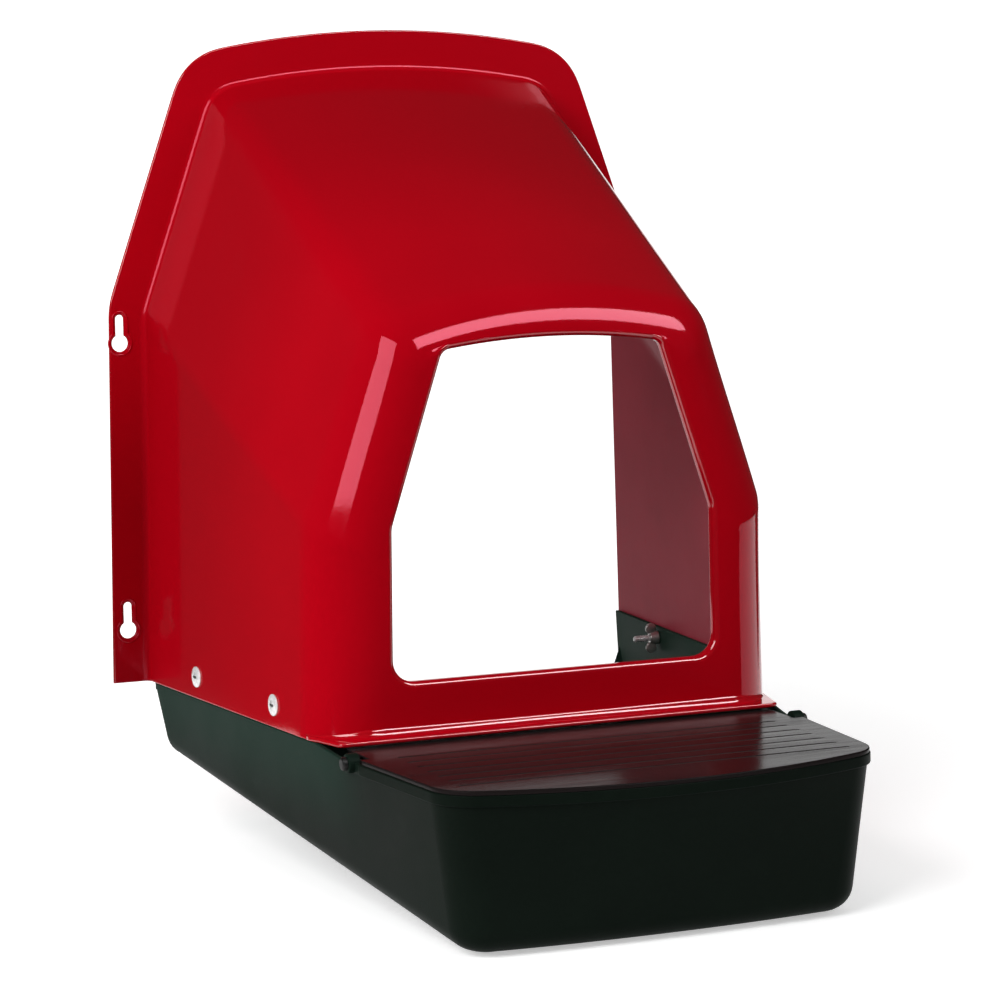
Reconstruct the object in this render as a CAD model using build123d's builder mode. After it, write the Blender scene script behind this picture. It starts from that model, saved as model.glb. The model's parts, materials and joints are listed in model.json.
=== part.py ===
from build123d import *
from math import sqrt
import os

os.makedirs("parts", exist_ok=True)

# Driving dimensions in millimetres. X is to the right, Y points back into the wall, Z is up.
# Heights ending in _h are measured up from the lowest point of the tray.
# Distances ending in _d are measured forward from the wall plane.

# Moulding
wall = 2.5            # wall thickness of hood, tray and lid
nest_gap = 0.3        # gap between the hood wall and the tray panel inside it
seat_gap = 0.05       # gap left between faces that rest on each other

# Plan shared by hood, tray and lid: straight sides that close in towards the front
rear_half = 155.8     # half width at the wall plane, at the sill
taper = 0.077         # side set-in per millimetre forward
splay = 0.017         # side set-in per millimetre up
sill_h = 90.2         # lower edge of the hood

# Hood
hood_d = 250.0        # front face
back_bend_h = 310.0   # height of the side bend at the wall
back_slope = 0.35     # set-in per millimetre up above the bend
back_top_h = 450.0    # crown at the wall
back_arc = 536.0      # crown radius at the wall
back_corner = 28.0    # crown corner radius at the wall
front_bend_h = 195.0
front_slope = 0.33
front_top_h = 323.0
front_arc = 290.0
front_corner = 41.0
bend_r = 40.0         # radius along the side bends
nose_r = 36.0         # rounding from the front face into sides and roof

# Wall flange and its keyholes
flange_w = 21.6       # flange width outside the hood wall
flange_corner = 2.0   # lower corners of the flange
root_r = 2.0          # fillet between hood and flange
key_out = 11.7        # keyhole centres outside the hood's side at the sill
key_lift = 31.3       # lower entry circles above the sill
key_drop = 18.5       # upper entry circles below the side bend
key_r = 5.0           # entry circle radius
slot_r = 2.5          # slot radius
slot_rise = 14.2      # slot end above the entry circle

# Entrance in the front face, set in from the hood's outline
door_sill = 31.0      # threshold above the sill
door_side = 39.7      # set-in from the hood's sides at the bend
door_flare = 1.0      # extra half width at the threshold
door_bend_rise = 10.0 # bend above the hood's front bend
door_drop = 19.4      # crown below the hood's front crown
door_arc = 417.0
door_low_r = 12.0
door_corner_r = 8.0
door_bend_r = 20.0
door_rim = 3.5        # depth of the rolled-in rim behind the wall
door_edge_r = 2.2     # rounding of the rolled edge

# Front lip of the hood
lip_reach = 7.5       # front edge of the lip before the front face
lip_in = 5.5          # lip corners set in from the sides
lip_run = 24.0        # where the lip runs out into the sides, behind the front face
lip_t = 2.8
lip_r = 4.0

# Tray
rear_low_h = 48.0     # underside at the wall plane; the underside falls to zero at the front
tray_rear_d = 0.6     # rear edge of the tray from the wall plane
foot_rear_in = 0.5    # underside set in from the rear edge
foot_side_in = 7.2    # underside set in from the sides at the rear
foot_front_in = 13.5  # underside set in from the sides at the front
foot_back = 25.2      # underside set back from the front of the rim
foot_arc = 6000.0
front_d = 412.0       # front of the rim at the centre
front_arc_r = 303.0   # plan radius of the rim's front edge
rim_corner = 15.0
skirt_over = 1.0      # rim overhang beyond the front wall
skirt_t = 6.0
skirt_run = 127.0     # length of the overhanging rim along the sides
body_corner = 27.5    # front plan corners at the shoulder
foot_front_corner = 20.6
rear_corner = 11.8    # plan corners at the rear, at the shoulder
foot_corner = 15.5    # plan corners at the rear, at the underside
foot_r = 14.0         # rounding between walls and underside
panel_edge = 6.5      # top of the side panels above the screws
panel_back = 45.0     # front end of the side panels behind the hood's front face
back_rise = 20.0      # low rear wall above the underside

# Lid and hinge
lid_drop = 0.8        # top of the lid below the sill
lid_t = 2.4
lid_tuck = 5.0        # rear edge of the lid behind the lip's front edge
lid_side_gap = 0.5    # lid set in from the rim outline
neck_gap = 2.8        # gap between the ears and the narrow rear part of the lid
lid_step = 10.0       # where the lid widens in front of the hinge
lid_corner = 14.0
groove_start = 4.3    # first groove in front of the step
groove_pitch = 14.0
groove_end = 12.6     # grooves set in from the sides of the lid
groove_last = 8.0     # least distance from the last groove to the front corners
groove_w = 1.4
groove_deep = 0.6
hinge_fore = 19.5     # hinge axis before the lip's front edge
hinge_drop = 3.4      # hinge axis below the lid's top
ear_proud = 0.7       # ears standing out of the tray's sides
ear_r = 5.4
ear_t = 6.4
end_play = 0.4        # gap between ear and lid knuckle
knuckle_r = 4.2
knuckle_len = 16.0
pin_r = 1.6
pin_play = 0.05       # radial running clearance of the pin in the lid
pin_head_r = 3.6
pin_head_t = 2.8
pin_reach = 18.0      # shaft length inboard of the head

# Fasteners: M6 truss-head screws with wing nuts
screw_rise = 12.8     # screw axes above the sill
screw_rear_d = 75.0
screw_end = 22.0      # front screws behind the front end of the panels
screw_r = 3.0
screw_play = 0.25     # radial clearance of the screws in their holes
screw_len = 22.0
head_r = 6.6
head_t = 3.8
cross_len = 6.4
cross_w = 1.5
cross_deep = 2.0
nut_r = 6.0
nut_top_r = 4.6
nut_t = 6.5
wing_span = 18.0
wing_rise = 9.0
wing_t = 2.0


def side(d, height):
    return rear_half - taper * d - splay * (height - sill_h)


# Derived values
key_span = 2 * (rear_half + key_out)
key_low_h = sill_h + key_lift
key_rise = back_bend_h - key_drop - key_low_h
hang_h = key_low_h + key_rise / 2     # height of the frame's origin, the centre of the keyholes
door_low_h = sill_h + door_sill
door_half = side(hood_d, front_bend_h) - door_side
door_low_half = door_half + door_flare
door_bend_h = front_bend_h + door_bend_rise
door_top_h = front_top_h - door_drop
lip_d = hood_d + lip_reach
lip_half = side(hood_d, sill_h) - lip_in
lip_root_d = hood_d - lip_run
shoulder_h = sill_h - seat_gap
tray_foot_rear_d = tray_rear_d + foot_rear_in
tray_foot_d = front_d - foot_back
foot_rear_half = side(tray_foot_rear_d, sill_h) - foot_side_in
foot_front_half = side(tray_foot_d, sill_h) - foot_front_in
skirt_d = front_d - skirt_run
screw_h = sill_h + screw_rise
panel_h = screw_h + panel_edge
panel_d = hood_d - panel_back
back_rim_h = rear_low_h + back_rise
screw_ds = {"rear": screw_rear_d, "front": panel_d - screw_end}
screw_hole_r = screw_r + screw_play
lid_top_h = sill_h - lid_drop
lid_rear_d = lip_d - lid_tuck
hinge_d = lip_d + hinge_fore
hinge_h = lid_top_h - hinge_drop
ear_out = side(hinge_d, sill_h) + ear_proud
lid_neck_half = ear_out - ear_t - neck_gap
lid_step_d = hinge_d + lid_step


def up(height):
    return height - hang_h


def arched(low_half, low_h, half, bend_h, slope, top_h, arc):
    # Corners of an outline with two low corners, two bends and an arched top.
    q = slope / (2 * arc)
    c = half - slope * (top_h - bend_h)
    top_half = (1 - sqrt(1 - 4 * q * c)) / (2 * q)
    corner_h = top_h - top_half**2 / (2 * arc)
    return [(low_half, up(low_h)), (half, up(bend_h)), (top_half, up(corner_h)), (0, up(top_h))]


def draw_arched(plane, points, low_r, side_r, corner_r):
    low, bend, corner, crown = points
    mirrored = [(-x, z) for x, z in (low, bend, corner)]
    with BuildSketch(plane) as outline:
        with BuildLine():
            Polyline(mirrored[2], mirrored[1], mirrored[0], low, bend, corner)
            ThreePointArc(corner, crown, mirrored[2])
        make_face()
        rows = outline.vertices().group_by(Axis.Y)
        fillet(rows[1], side_r)
        fillet(outline.vertices().group_by(Axis.Y)[-1], corner_r)
        if low_r:
            fillet(outline.vertices().group_by(Axis.Y)[0], low_r)
    return outline.sketch


def hood_section(d, inset, low_h, front):
    bend_h, slope, top_h, arc, corner = (
        (front_bend_h, front_slope, front_top_h, front_arc, front_corner)
        if front
        else (back_bend_h, back_slope, back_top_h, back_arc, back_corner)
    )
    points = arched(
        side(d, low_h) - inset, low_h, side(d, bend_h) - inset, bend_h, slope, top_h - inset, arc - inset
    )
    return draw_arched(Plane.XZ.offset(d), points, 0, bend_r - inset, corner - inset)


def plan_outline(plane, rear_d, rear_w, corner_d, corner_w, front, rear_r, front_r, stretch=1.0):
    # Plan outline with a straight rear, straight sides and a bowed front.
    with BuildSketch(plane) as outline:
        with BuildLine():
            Polyline(
                (-corner_w, -corner_d * stretch),
                (-rear_w, -rear_d * stretch),
                (rear_w, -rear_d * stretch),
                (corner_w, -corner_d * stretch),
            )
            ThreePointArc(
                (corner_w, -corner_d * stretch), (0, -front * stretch), (-corner_w, -corner_d * stretch)
            )
        make_face()
        fillet(outline.vertices().group_by(Axis.Y)[0], front_r)
        if rear_r:
            fillet(outline.vertices().group_by(Axis.Y)[-1], rear_r)
    return outline.sketch


# Seats of the four screws on the outside of the hood's side walls, each square to its wall
side_normal = Vector(1, -taper, splay).normalized()
screw_seats = {}
for row, d in screw_ds.items():
    for hand, sign in (("left", -1), ("right", 1)):
        screw_seats[f"{hand}_{row}"] = Plane(
            origin=(sign * side(d, screw_h), -d, up(screw_h)),
            x_dir=(0, 0, 1),
            z_dir=(sign * side_normal.X, side_normal.Y, side_normal.Z),
        )

# Hood: a tapering shell open at the wall and below, with wall flange, entrance and front lip
outer_back = hood_section(0, 0, sill_h, False)
outer_front = hood_section(hood_d, 0, sill_h, True)
inner_low_h = sill_h - 2 * wall
inner_back = hood_section(0, wall, inner_low_h, False)
inner_front = hood_section(hood_d - wall, wall, inner_low_h, True)
flange_bend = (side(0, back_bend_h) + flange_w, back_bend_h + flange_w * back_slope / 2)
flange_face = draw_arched(
    Plane.XZ,
    arched(
        side(0, sill_h) + flange_w,
        sill_h,
        *flange_bend,
        back_slope,
        back_top_h + flange_w,
        back_arc + flange_w,
    ),
    flange_corner,
    bend_r + flange_w,
    back_corner + flange_w,
)
door_points = arched(door_low_half, door_low_h, door_half, door_bend_h, front_slope, door_top_h, door_arc)
door_plane = Plane.XZ.offset(hood_d - wall - door_rim)
door_face = draw_arched(door_plane, door_points, door_low_r, door_bend_r, door_corner_r)

with BuildPart() as cavity:
    loft([inner_back, inner_front], ruled=True)
    nose = cavity.edges().group_by(Axis.Y)[0].filter_by(lambda e: e.center().Z > up(inner_low_h) + 1)
    fillet(nose, nose_r - wall)

with BuildPart() as hood:
    loft([outer_back, outer_front], ruled=True)
    nose = hood.edges().group_by(Axis.Y)[0].filter_by(lambda e: e.center().Z > up(sill_h) + 1)
    fillet(nose, nose_r)
    extrude(flange_face, amount=wall)
    root = hood.edges().filter_by(
        lambda e: abs(e.center().Y + wall) < 1e-3
        and e.bounding_box().max.X < side(0, sill_h) + 1
        and e.bounding_box().min.X > -side(0, sill_h) - 1
        and e.bounding_box().max.Z > up(sill_h) + 1
    )
    fillet(root, root_r)
    with BuildSketch(Plane.XY.offset(up(sill_h))) as lip_face:
        with BuildLine():
            Polyline(
                (-side(lip_root_d, sill_h), -lip_root_d),
                (-lip_half, -lip_d),
                (lip_half, -lip_d),
                (side(lip_root_d, sill_h), -lip_root_d),
                close=True,
            )
        make_face()
        fillet(lip_face.vertices().group_by(Axis.Y)[0], lip_r)
    extrude(amount=lip_t)
    add(cavity.part, mode=Mode.SUBTRACT)
    with BuildSketch(door_plane):
        add(door_face)
        offset(amount=wall, kind=Kind.ARC)
    extrude(amount=door_rim + wall / 2)
    extrude(door_face, amount=door_rim + 2 * wall, mode=Mode.SUBTRACT)
    door_edge = hood.edges().filter_by(
        lambda e: abs(e.center().Y + hood_d) < 1e-3 and abs(e.center().X) < door_low_half + 1
    )
    fillet(door_edge.filter_by(lambda e: e.center().Z > up(sill_h + lip_t) + 1), door_edge_r)
    key_centres = GridLocations(key_span, key_rise, 2, 2)
    with BuildSketch(Plane.XZ):
        with key_centres:
            Circle(key_r)
            with Locations((0, slot_rise / 2)):
                SlotOverall(slot_rise + 2 * slot_r, 2 * slot_r, rotation=90)
    extrude(amount=2 * wall, mode=Mode.SUBTRACT)
    for seat in screw_seats.values():
        with BuildSketch(seat):
            Circle(screw_hole_r)
        extrude(amount=-2 * wall, mode=Mode.SUBTRACT)
hood.part.label = "hood"
export_step(hood.part, "parts/hood.step")

# Tray: a sloping trough with a low rear wall, side panels that stand inside the hood, and a front rim
slope = rear_low_h / tray_foot_d
stretch = sqrt(1 + slope**2)


def foot_plane(height):
    return Plane(origin=(0, 0, up(rear_low_h + height)), x_dir=(1, 0, 0), z_dir=(0, -slope, 1))


def bow(front, half, arc):
    return front - arc + sqrt(arc**2 - half**2)


def tray_loft(inset, top_h, floor):
    body_front = front_d - skirt_over - inset
    half = side(body_front, sill_h)
    top = plan_outline(
        Plane.XY.offset(up(top_h)),
        tray_rear_d + inset,
        side(tray_rear_d, sill_h) - inset,
        bow(body_front, half, front_arc_r),
        half - inset,
        body_front,
        rear_corner - inset,
        body_corner - inset,
    )
    foot_front = tray_foot_d - inset
    low = plan_outline(
        foot_plane(floor),
        tray_foot_rear_d + inset,
        foot_rear_half - inset,
        bow(foot_front, foot_front_half, foot_arc),
        foot_front_half - inset,
        foot_front,
        foot_corner - inset,
        foot_front_corner - inset,
        stretch,
    )
    return [low, top]


rim_h = lid_top_h - lid_t - seat_gap
rim_half = side(front_d, sill_h)
rim_face = plan_outline(
    Plane.XY.offset(up(rim_h)),
    skirt_d,
    side(skirt_d, sill_h),
    bow(front_d, rim_half, front_arc_r),
    rim_half,
    front_d,
    0,
    rim_corner,
)
panel_in = 2 * wall + nest_gap          # inner face of the panels, from the hood's outer face
panel_mid_d = (tray_rear_d + panel_d) / 2
panel_low_h = shoulder_h - wall
ear_planes = [
    Plane(origin=(sign * ear_out, -hinge_d, up(hinge_h)), x_dir=(0, 1, 0), z_dir=(sign, 0, 0))
    for sign in (-1, 1)
]

with BuildPart() as trough:
    loft(tray_loft(wall, shoulder_h, wall), ruled=True)
    fillet(trough.faces().sort_by(Axis.Z)[0].edges(), foot_r - wall)

with BuildPart() as tray:
    loft(tray_loft(0, shoulder_h, 0), ruled=True)
    fillet(tray.faces().sort_by(Axis.Z)[0].edges(), foot_r)
    with BuildSketch(Plane.XY.offset(up(rim_h))):
        with Locations((0, -lid_rear_d)):
            Rectangle(4 * rear_half, 2 * front_d, align=(Align.CENTER, Align.MAX))
    extrude(amount=panel_h, mode=Mode.SUBTRACT)
    extrude(rim_face, amount=-skirt_t)
    for ear in ear_planes:
        with BuildSketch(ear):
            Circle(ear_r)
        extrude(amount=-ear_t)
    add(trough.part, mode=Mode.SUBTRACT)
    for sign in (-1, 1):
        with BuildSketch(Plane.XY.offset(up(panel_low_h))):
            with BuildLine():
                Polyline(
                    (sign * side(rear_corner, sill_h), -rear_corner),
                    (sign * side(panel_d, sill_h), -panel_d),
                    (sign * (side(panel_d, sill_h) - panel_in), -panel_d),
                    (sign * (side(rear_corner, sill_h) - panel_in), -rear_corner),
                    close=True,
                )
            make_face()
        extrude(amount=wall)
        panel_face = Plane(
            origin=(
                sign * (side(panel_mid_d, (panel_low_h + panel_h) / 2) - (wall + nest_gap) / side_normal.X),
                -panel_mid_d,
                up((panel_low_h + panel_h) / 2),
            ),
            x_dir=(sign * taper, 1, 0),
            z_dir=(sign * side_normal.X, side_normal.Y, side_normal.Z),
        )
        with BuildSketch(panel_face):
            Rectangle((panel_d - tray_rear_d) * sqrt(1 + taper**2), panel_h - panel_low_h)
        extrude(amount=-wall)
    with BuildSketch(Plane.XZ.offset(-wall)) as back_gap:
        with Locations((0, up(back_rim_h))):
            Rectangle(
                2 * (side(foot_corner, sill_h) - panel_in - wall), panel_h, align=(Align.CENTER, Align.MIN)
            )
        fillet(back_gap.vertices().group_by(Axis.Y)[0], foot_corner / 2)
    extrude(amount=foot_corner + wall, mode=Mode.SUBTRACT)
    for ear in ear_planes:
        with BuildSketch(ear):
            Circle(pin_r)
        extrude(amount=-2 * ear_t, mode=Mode.SUBTRACT)
    for seat in screw_seats.values():
        with BuildSketch(seat):
            Circle(screw_hole_r)
        extrude(amount=-panel_in - wall, mode=Mode.SUBTRACT)
tray.part.label = "tray"
export_step(tray.part, "parts/tray.step")

# Lid: a grooved plate over the front of the tray, with two knuckles under its rear edge
lid_half = side(front_d, sill_h) - lid_side_gap
lid_step_half = side(lid_step_d, sill_h) - lid_side_gap
lid_corner_d = bow(front_d, lid_half, front_arc_r)
groove_half = lid_half - groove_end
groove_room = lid_corner_d - groove_last - lid_step_d - groove_start
groove_count = int(groove_room / groove_pitch) + 1
lid_right = [
    (lid_neck_half, -lid_rear_d),
    (lid_neck_half, -lid_step_d),
    (lid_step_half, -lid_step_d),
    (lid_half, -lid_corner_d),
]
with BuildPart() as lid:
    with BuildSketch(Plane.XY.offset(up(lid_top_h))) as lid_face:
        with BuildLine():
            Polyline([(-x, y) for x, y in reversed(lid_right)] + lid_right)
            ThreePointArc(lid_right[-1], (0, -front_d), (-lid_half, -lid_corner_d))
        make_face()
        fillet(lid_face.vertices().group_by(Axis.Y)[0], lid_corner)
        fillet(lid_face.vertices().group_by(Axis.Y)[-1], lid_t)
    extrude(amount=-lid_t)
    fillet(lid.faces().sort_by(Axis.Z)[-1].edges(), lid_t / 3)
    for ear in ear_planes:
        with BuildSketch(ear.offset(-ear_t - end_play)):
            Circle(knuckle_r)
        extrude(amount=-knuckle_len)
    with BuildSketch(Plane.XY.offset(up(lid_top_h))):
        with Locations((0, -hinge_d)):
            Rectangle(4 * lid_neck_half, 4 * knuckle_r)
    extrude(amount=knuckle_r, mode=Mode.SUBTRACT)
    for ear in ear_planes:
        with BuildSketch(ear):
            Circle(pin_r + pin_play)
        extrude(amount=-pin_reach - end_play, mode=Mode.SUBTRACT)
    with BuildSketch(Plane.XY.offset(up(lid_top_h))):
        for i in range(groove_count):
            with Locations((0, -lid_step_d - groove_start - i * groove_pitch)):
                SlotOverall(2 * groove_half, groove_w)
    extrude(amount=-groove_deep, mode=Mode.SUBTRACT)
lid.part.label = "lid"
export_step(lid.part, "parts/lid.step")

# Hinge pins: headed pins pressed through the ears into the lid's knuckles
for hand, ear in zip(("left", "right"), ear_planes):
    with BuildPart() as pin:
        with BuildSketch(ear.offset(seat_gap)):
            Circle(pin_head_r)
        extrude(amount=pin_head_t)
        crown = pin.edges().sort_by(lambda e: abs(e.center().X))[-1]
        fillet(crown, pin_head_t / 2)
        with BuildSketch(ear.offset(seat_gap)):
            Circle(pin_r)
        extrude(amount=-pin_reach)
    pin.part.label = f"hinge_pin_{hand}"
    export_step(pin.part, f"parts/hinge_pin_{hand}.step")

# Screws and wing nuts: one pair at each seat, clamping the hood wall to the tray panel
for place, seat in screw_seats.items():
    with BuildPart() as screw:
        with BuildSketch(seat.offset(seat_gap)):
            Circle(head_r)
        extrude(amount=head_t)
        crown = screw.edges().sort_by(lambda e: abs(e.center().X))[-1]
        fillet(crown, 0.8 * head_t)
        with BuildSketch(seat.offset(head_t + seat_gap)):
            Rectangle(cross_len, cross_w)
            Rectangle(cross_w, cross_len)
        extrude(amount=-cross_deep, mode=Mode.SUBTRACT)
        with BuildSketch(seat.offset(seat_gap)):
            Circle(screw_r)
        extrude(amount=-screw_len)
    screw.part.label = f"screw_{place}"
    export_step(screw.part, f"parts/screw_{place}.step")

    inward = Plane(
        origin=seat.offset(-panel_in - seat_gap).origin,
        x_dir=(0, -0.5, 1),
        z_dir=-seat.z_dir,
    )
    blade_plane = Plane(origin=inward.origin, x_dir=inward.x_dir, z_dir=-inward.y_dir)
    with BuildPart() as nut:
        with BuildSketch(inward):
            Circle(nut_r)
        with BuildSketch(inward.offset(nut_t)):
            Circle(nut_top_r)
        loft()
        with BuildSketch(blade_plane) as blade:
            for sign in (-1, 1):
                with BuildLine():
                    Polyline(
                        (0, nut_t / 6),
                        (sign * nut_r, nut_t / 6),
                        (sign * wing_span / 2, wing_rise / 2),
                        (sign * wing_span / 2, wing_rise),
                        (sign * wing_span / 3, wing_rise),
                        (sign * nut_top_r, nut_t),
                        (0, nut_t),
                        close=True,
                    )
                make_face()
            tips = blade.vertices().filter_by(lambda v: abs(v.X) > wing_span / 2 - 0.1)
            fillet(tips, wing_rise / 5)
        extrude(amount=wing_t / 2, both=True)
        with BuildSketch(inward):
            Circle(screw_r)
        extrude(amount=2 * nut_t, mode=Mode.SUBTRACT)
    nut.part.label = f"wing_nut_{place}"
    export_step(nut.part, f"parts/wing_nut_{place}.step")
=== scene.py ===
import json
from math import atan2, cos, hypot, pi, radians, sin, sqrt, tan

import bmesh
import bpy
import numpy as np
from bpy.props import FloatProperty, FloatVectorProperty, PointerProperty
from mathutils import Matrix, Vector

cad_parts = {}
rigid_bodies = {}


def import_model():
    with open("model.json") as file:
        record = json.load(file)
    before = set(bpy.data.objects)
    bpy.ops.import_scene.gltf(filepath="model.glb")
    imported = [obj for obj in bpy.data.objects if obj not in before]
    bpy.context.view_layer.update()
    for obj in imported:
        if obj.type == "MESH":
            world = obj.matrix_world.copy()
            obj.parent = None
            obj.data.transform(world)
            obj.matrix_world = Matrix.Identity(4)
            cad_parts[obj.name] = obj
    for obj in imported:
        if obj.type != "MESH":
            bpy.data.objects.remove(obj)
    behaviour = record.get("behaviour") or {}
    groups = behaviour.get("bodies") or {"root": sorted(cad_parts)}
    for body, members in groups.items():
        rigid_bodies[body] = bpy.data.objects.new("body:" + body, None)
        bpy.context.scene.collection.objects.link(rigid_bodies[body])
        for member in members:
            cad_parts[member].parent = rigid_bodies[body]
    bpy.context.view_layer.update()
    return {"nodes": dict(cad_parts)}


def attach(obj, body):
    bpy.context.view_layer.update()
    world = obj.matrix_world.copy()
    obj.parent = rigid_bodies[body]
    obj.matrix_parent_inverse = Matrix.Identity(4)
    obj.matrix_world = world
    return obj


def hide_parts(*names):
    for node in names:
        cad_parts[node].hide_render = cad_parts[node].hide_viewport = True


bl_info = {
    "name": "Roll-out nest box",
    "version": (1, 0, 0),
    "blender": (4, 5, 0),
    "location": "3D View > Sidebar > Nest box",
    "description": "Hood, tray, lid and fasteners of a wall-hung roll-out nest box, with a studio stage",
    "category": "Add Mesh",
}

for leftover in list(bpy.data.objects):
    bpy.data.objects.remove(leftover)
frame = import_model()
NODES = frame["nodes"]
GROUND = -0.2065  # the ground in the frame, from which the sizes count heights
MERGE = 2e-7  # points of a skin that lie closer than this become one

# Points along an arched outline, and along half an outline in plan.
ARCH_POINTS = {"crown": 15, "corner": 21, "slope": 12, "bend": 21, "low": 14, "foot": 10, "floor": 16}
PLAN_POINTS = {"rear": 12, "rear_corner": 9, "side": 36, "front_corner": 17, "bow": 17}
# Extra points along the tray's sides, as shares of their length, where its rim changes.
SIDE_MARKS = (0.633, 0.670, 0.707, 0.766, 0.772, 0.778)
# Fine steps of an eased turn, and the share of it over which the curvature grows.
TURN_STEPS, TURN_EASE = 440, 0.25

ROD_EASE = 0.3  # middle row of a bar's rounded end, as a share of its edge

# Rows of the hood's skin: nose, side, fillet at the flange, flange and its rounded edge.
NOSE_ROWS, SIDE_ROWS, ROOT_ROWS, FLANGE_ROWS, EDGE_ROWS = 16, 30, 7, 8, 6
# Rows of the entrance: its rolled edge and its small edges, and the front wall's rows as shares of its width.
ROLL_ROWS, ROUND_ROWS, FACE_ROWS = 8, 5, (0.0, 0.3, 0.6, 0.85, 0.97)
NOSE_LIMIT = 0.9  # largest sine of the angle at which the nose may start
FOOT_SHARE = 0.45  # most that a rounded foot takes of a wall's thickness, from each side
# Profiles along the hood's lip, the most that its fillet and its rounded edge take of its reach, that edge in edge
# radii, its root inside the wall as a share of the wall, and the share of the fillet that is left at its ends.
LIP_POINTS, LIP_FILLET, LIP_TIP, LIP_EDGE, LIP_SUNK, LIP_END = 161, 0.7, 0.25, 1.4, 0.6, 0.4
# Depth before the wall plane and growth of the keyholes' cutters, which flare at both faces.
KEY_FLARE = ((-0.0005, 0.0012), (0.0007, 0.0), (0.0017, 0.0), (0.0029, 0.0012))
BEAD_HEIGHT = 0.7  # height of the keyholes' beads as a share of their radius

LID_EASE = 0.4  # chamfer of the lid's lower edge as a share of its upper edge's radius
# Lengths of the lid's step, of its front without even rows and of its front with closer rows, and their rounding.
STEP_RUN, EVEN_END, CLOSE_RUN, DEPTH_DIGITS = 0.0001, 0.03, 0.05, 5
# Grooves of the lid, the width of their flanks in groove widths, and the rows across a groove, from its middle.
GROOVES, GROOVE_FLANK = 7, 0.38
GROOVE_ROWS = (-0.68, -0.58, -0.49, -0.40, -0.3, 0.0, 0.3, 0.40, 0.49, 0.58, 0.68)

HEAD_FOOT = 0.15  # where the chamfer under a screw's head starts, as a share of its rim
RECESS_SHADE_SINK = 1.6  # a face of a screw's recess gets painted shade, a dark copy of the zinc, when the sinks of its four corners add up to more

# Where painted shade and painted light change the finishes, along Y or Z in the frame.
HOOD_SHADE_Y, FLANGE_SHADE_Y, FLANGE_SHADE_Z = (-0.19, -0.06), (-0.006, -0.003), (-0.03, 0.15)
TRAY_LIT_Y, TRAY_LIT_Z = (-0.30, -0.24), (-0.175, -0.118)

# Name, azimuth, elevation, distance, width and height seen from the aim, radiance and roll of each lamp, and
# whether it lights matt surfaces and shows in gloss.
LAMPS = (
    ("left softbox", -56.0, 27.6, 1.6, 31.0, 32.6, 7.1, -9.5, True, True),
    ("right strip", 31.0, 39.0, 1.6, 46.0, 17.0, 12.0, 0.0, False, True),
    ("low card", 85.0, -14.0, 1.6, 50.0, 11.0, 1.2, 0.0, False, True),
    ("top fill", 20.0, 75.0, 1.8, 60.0, 60.0, 0.9, 0.0, True, False),
    ("left fill", -105.0, 15.0, 2.0, 50.0, 36.0, 1.9, 0.0, True, False),
    ("right fill", 50.0, 22.0, 2.0, 40.0, 40.0, 1.9, 0.0, True, False),
    ("back fill", -155.0, 18.0, 2.2, 50.0, 40.0, 1.0, 0.0, True, False),
)
# Glow of the paper near the part, its rise with the distance behind the part, and at the two sides, where it is
# painted light that fades the part's shadow.
GLOW, GLOW_FAR, GLOW_SIDE = 0.46, 0.50, 0.10
GLOW_FAR_Y, GLOW_RIGHT_X, GLOW_LEFT_X = (0.1, 1.2), (0.22, 0.45), (0.0, -0.2)
SENSOR, CLIP = 36.0, (0.05, 50.0)  # the camera's sensor in millimetres, and its clipping distances


# Settings


def length(name, default, description):
    """A length in metres that the panel shows in scene units."""
    return FloatProperty(
        name=name, description=description, default=default, subtype="DISTANCE", unit="LENGTH", precision=4
    )


def number(name, default, description):
    """A plain number, such as a slope."""
    return FloatProperty(name=name, description=description, default=default, precision=4)


def colour(name, default, description):
    """A linear colour."""
    return FloatVectorProperty(
        name=name, description=description, default=default, size=3, min=0.0, max=1.0, subtype="COLOR"
    )


def settings(context, *names):
    """Property groups of the scene, by their short names."""
    return (getattr(context.scene, f"nestbox_{name}") for name in names)


class NestBoxPlan(bpy.types.PropertyGroup):
    """Sizes that hood, tray and lid share."""

    wall: length("Wall", 0.0025, "Wall thickness of the mouldings")
    half: length("Rear half width", 0.1558, "Half width at the wall plane, at the sill")
    taper: number("Taper", 0.077, "Set-in of the sides per length forward")
    splay: number("Splay", 0.017, "Set-in of the sides per length up")
    sill: length("Sill", 0.0902, "Lower edge of the hood above the ground")


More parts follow.
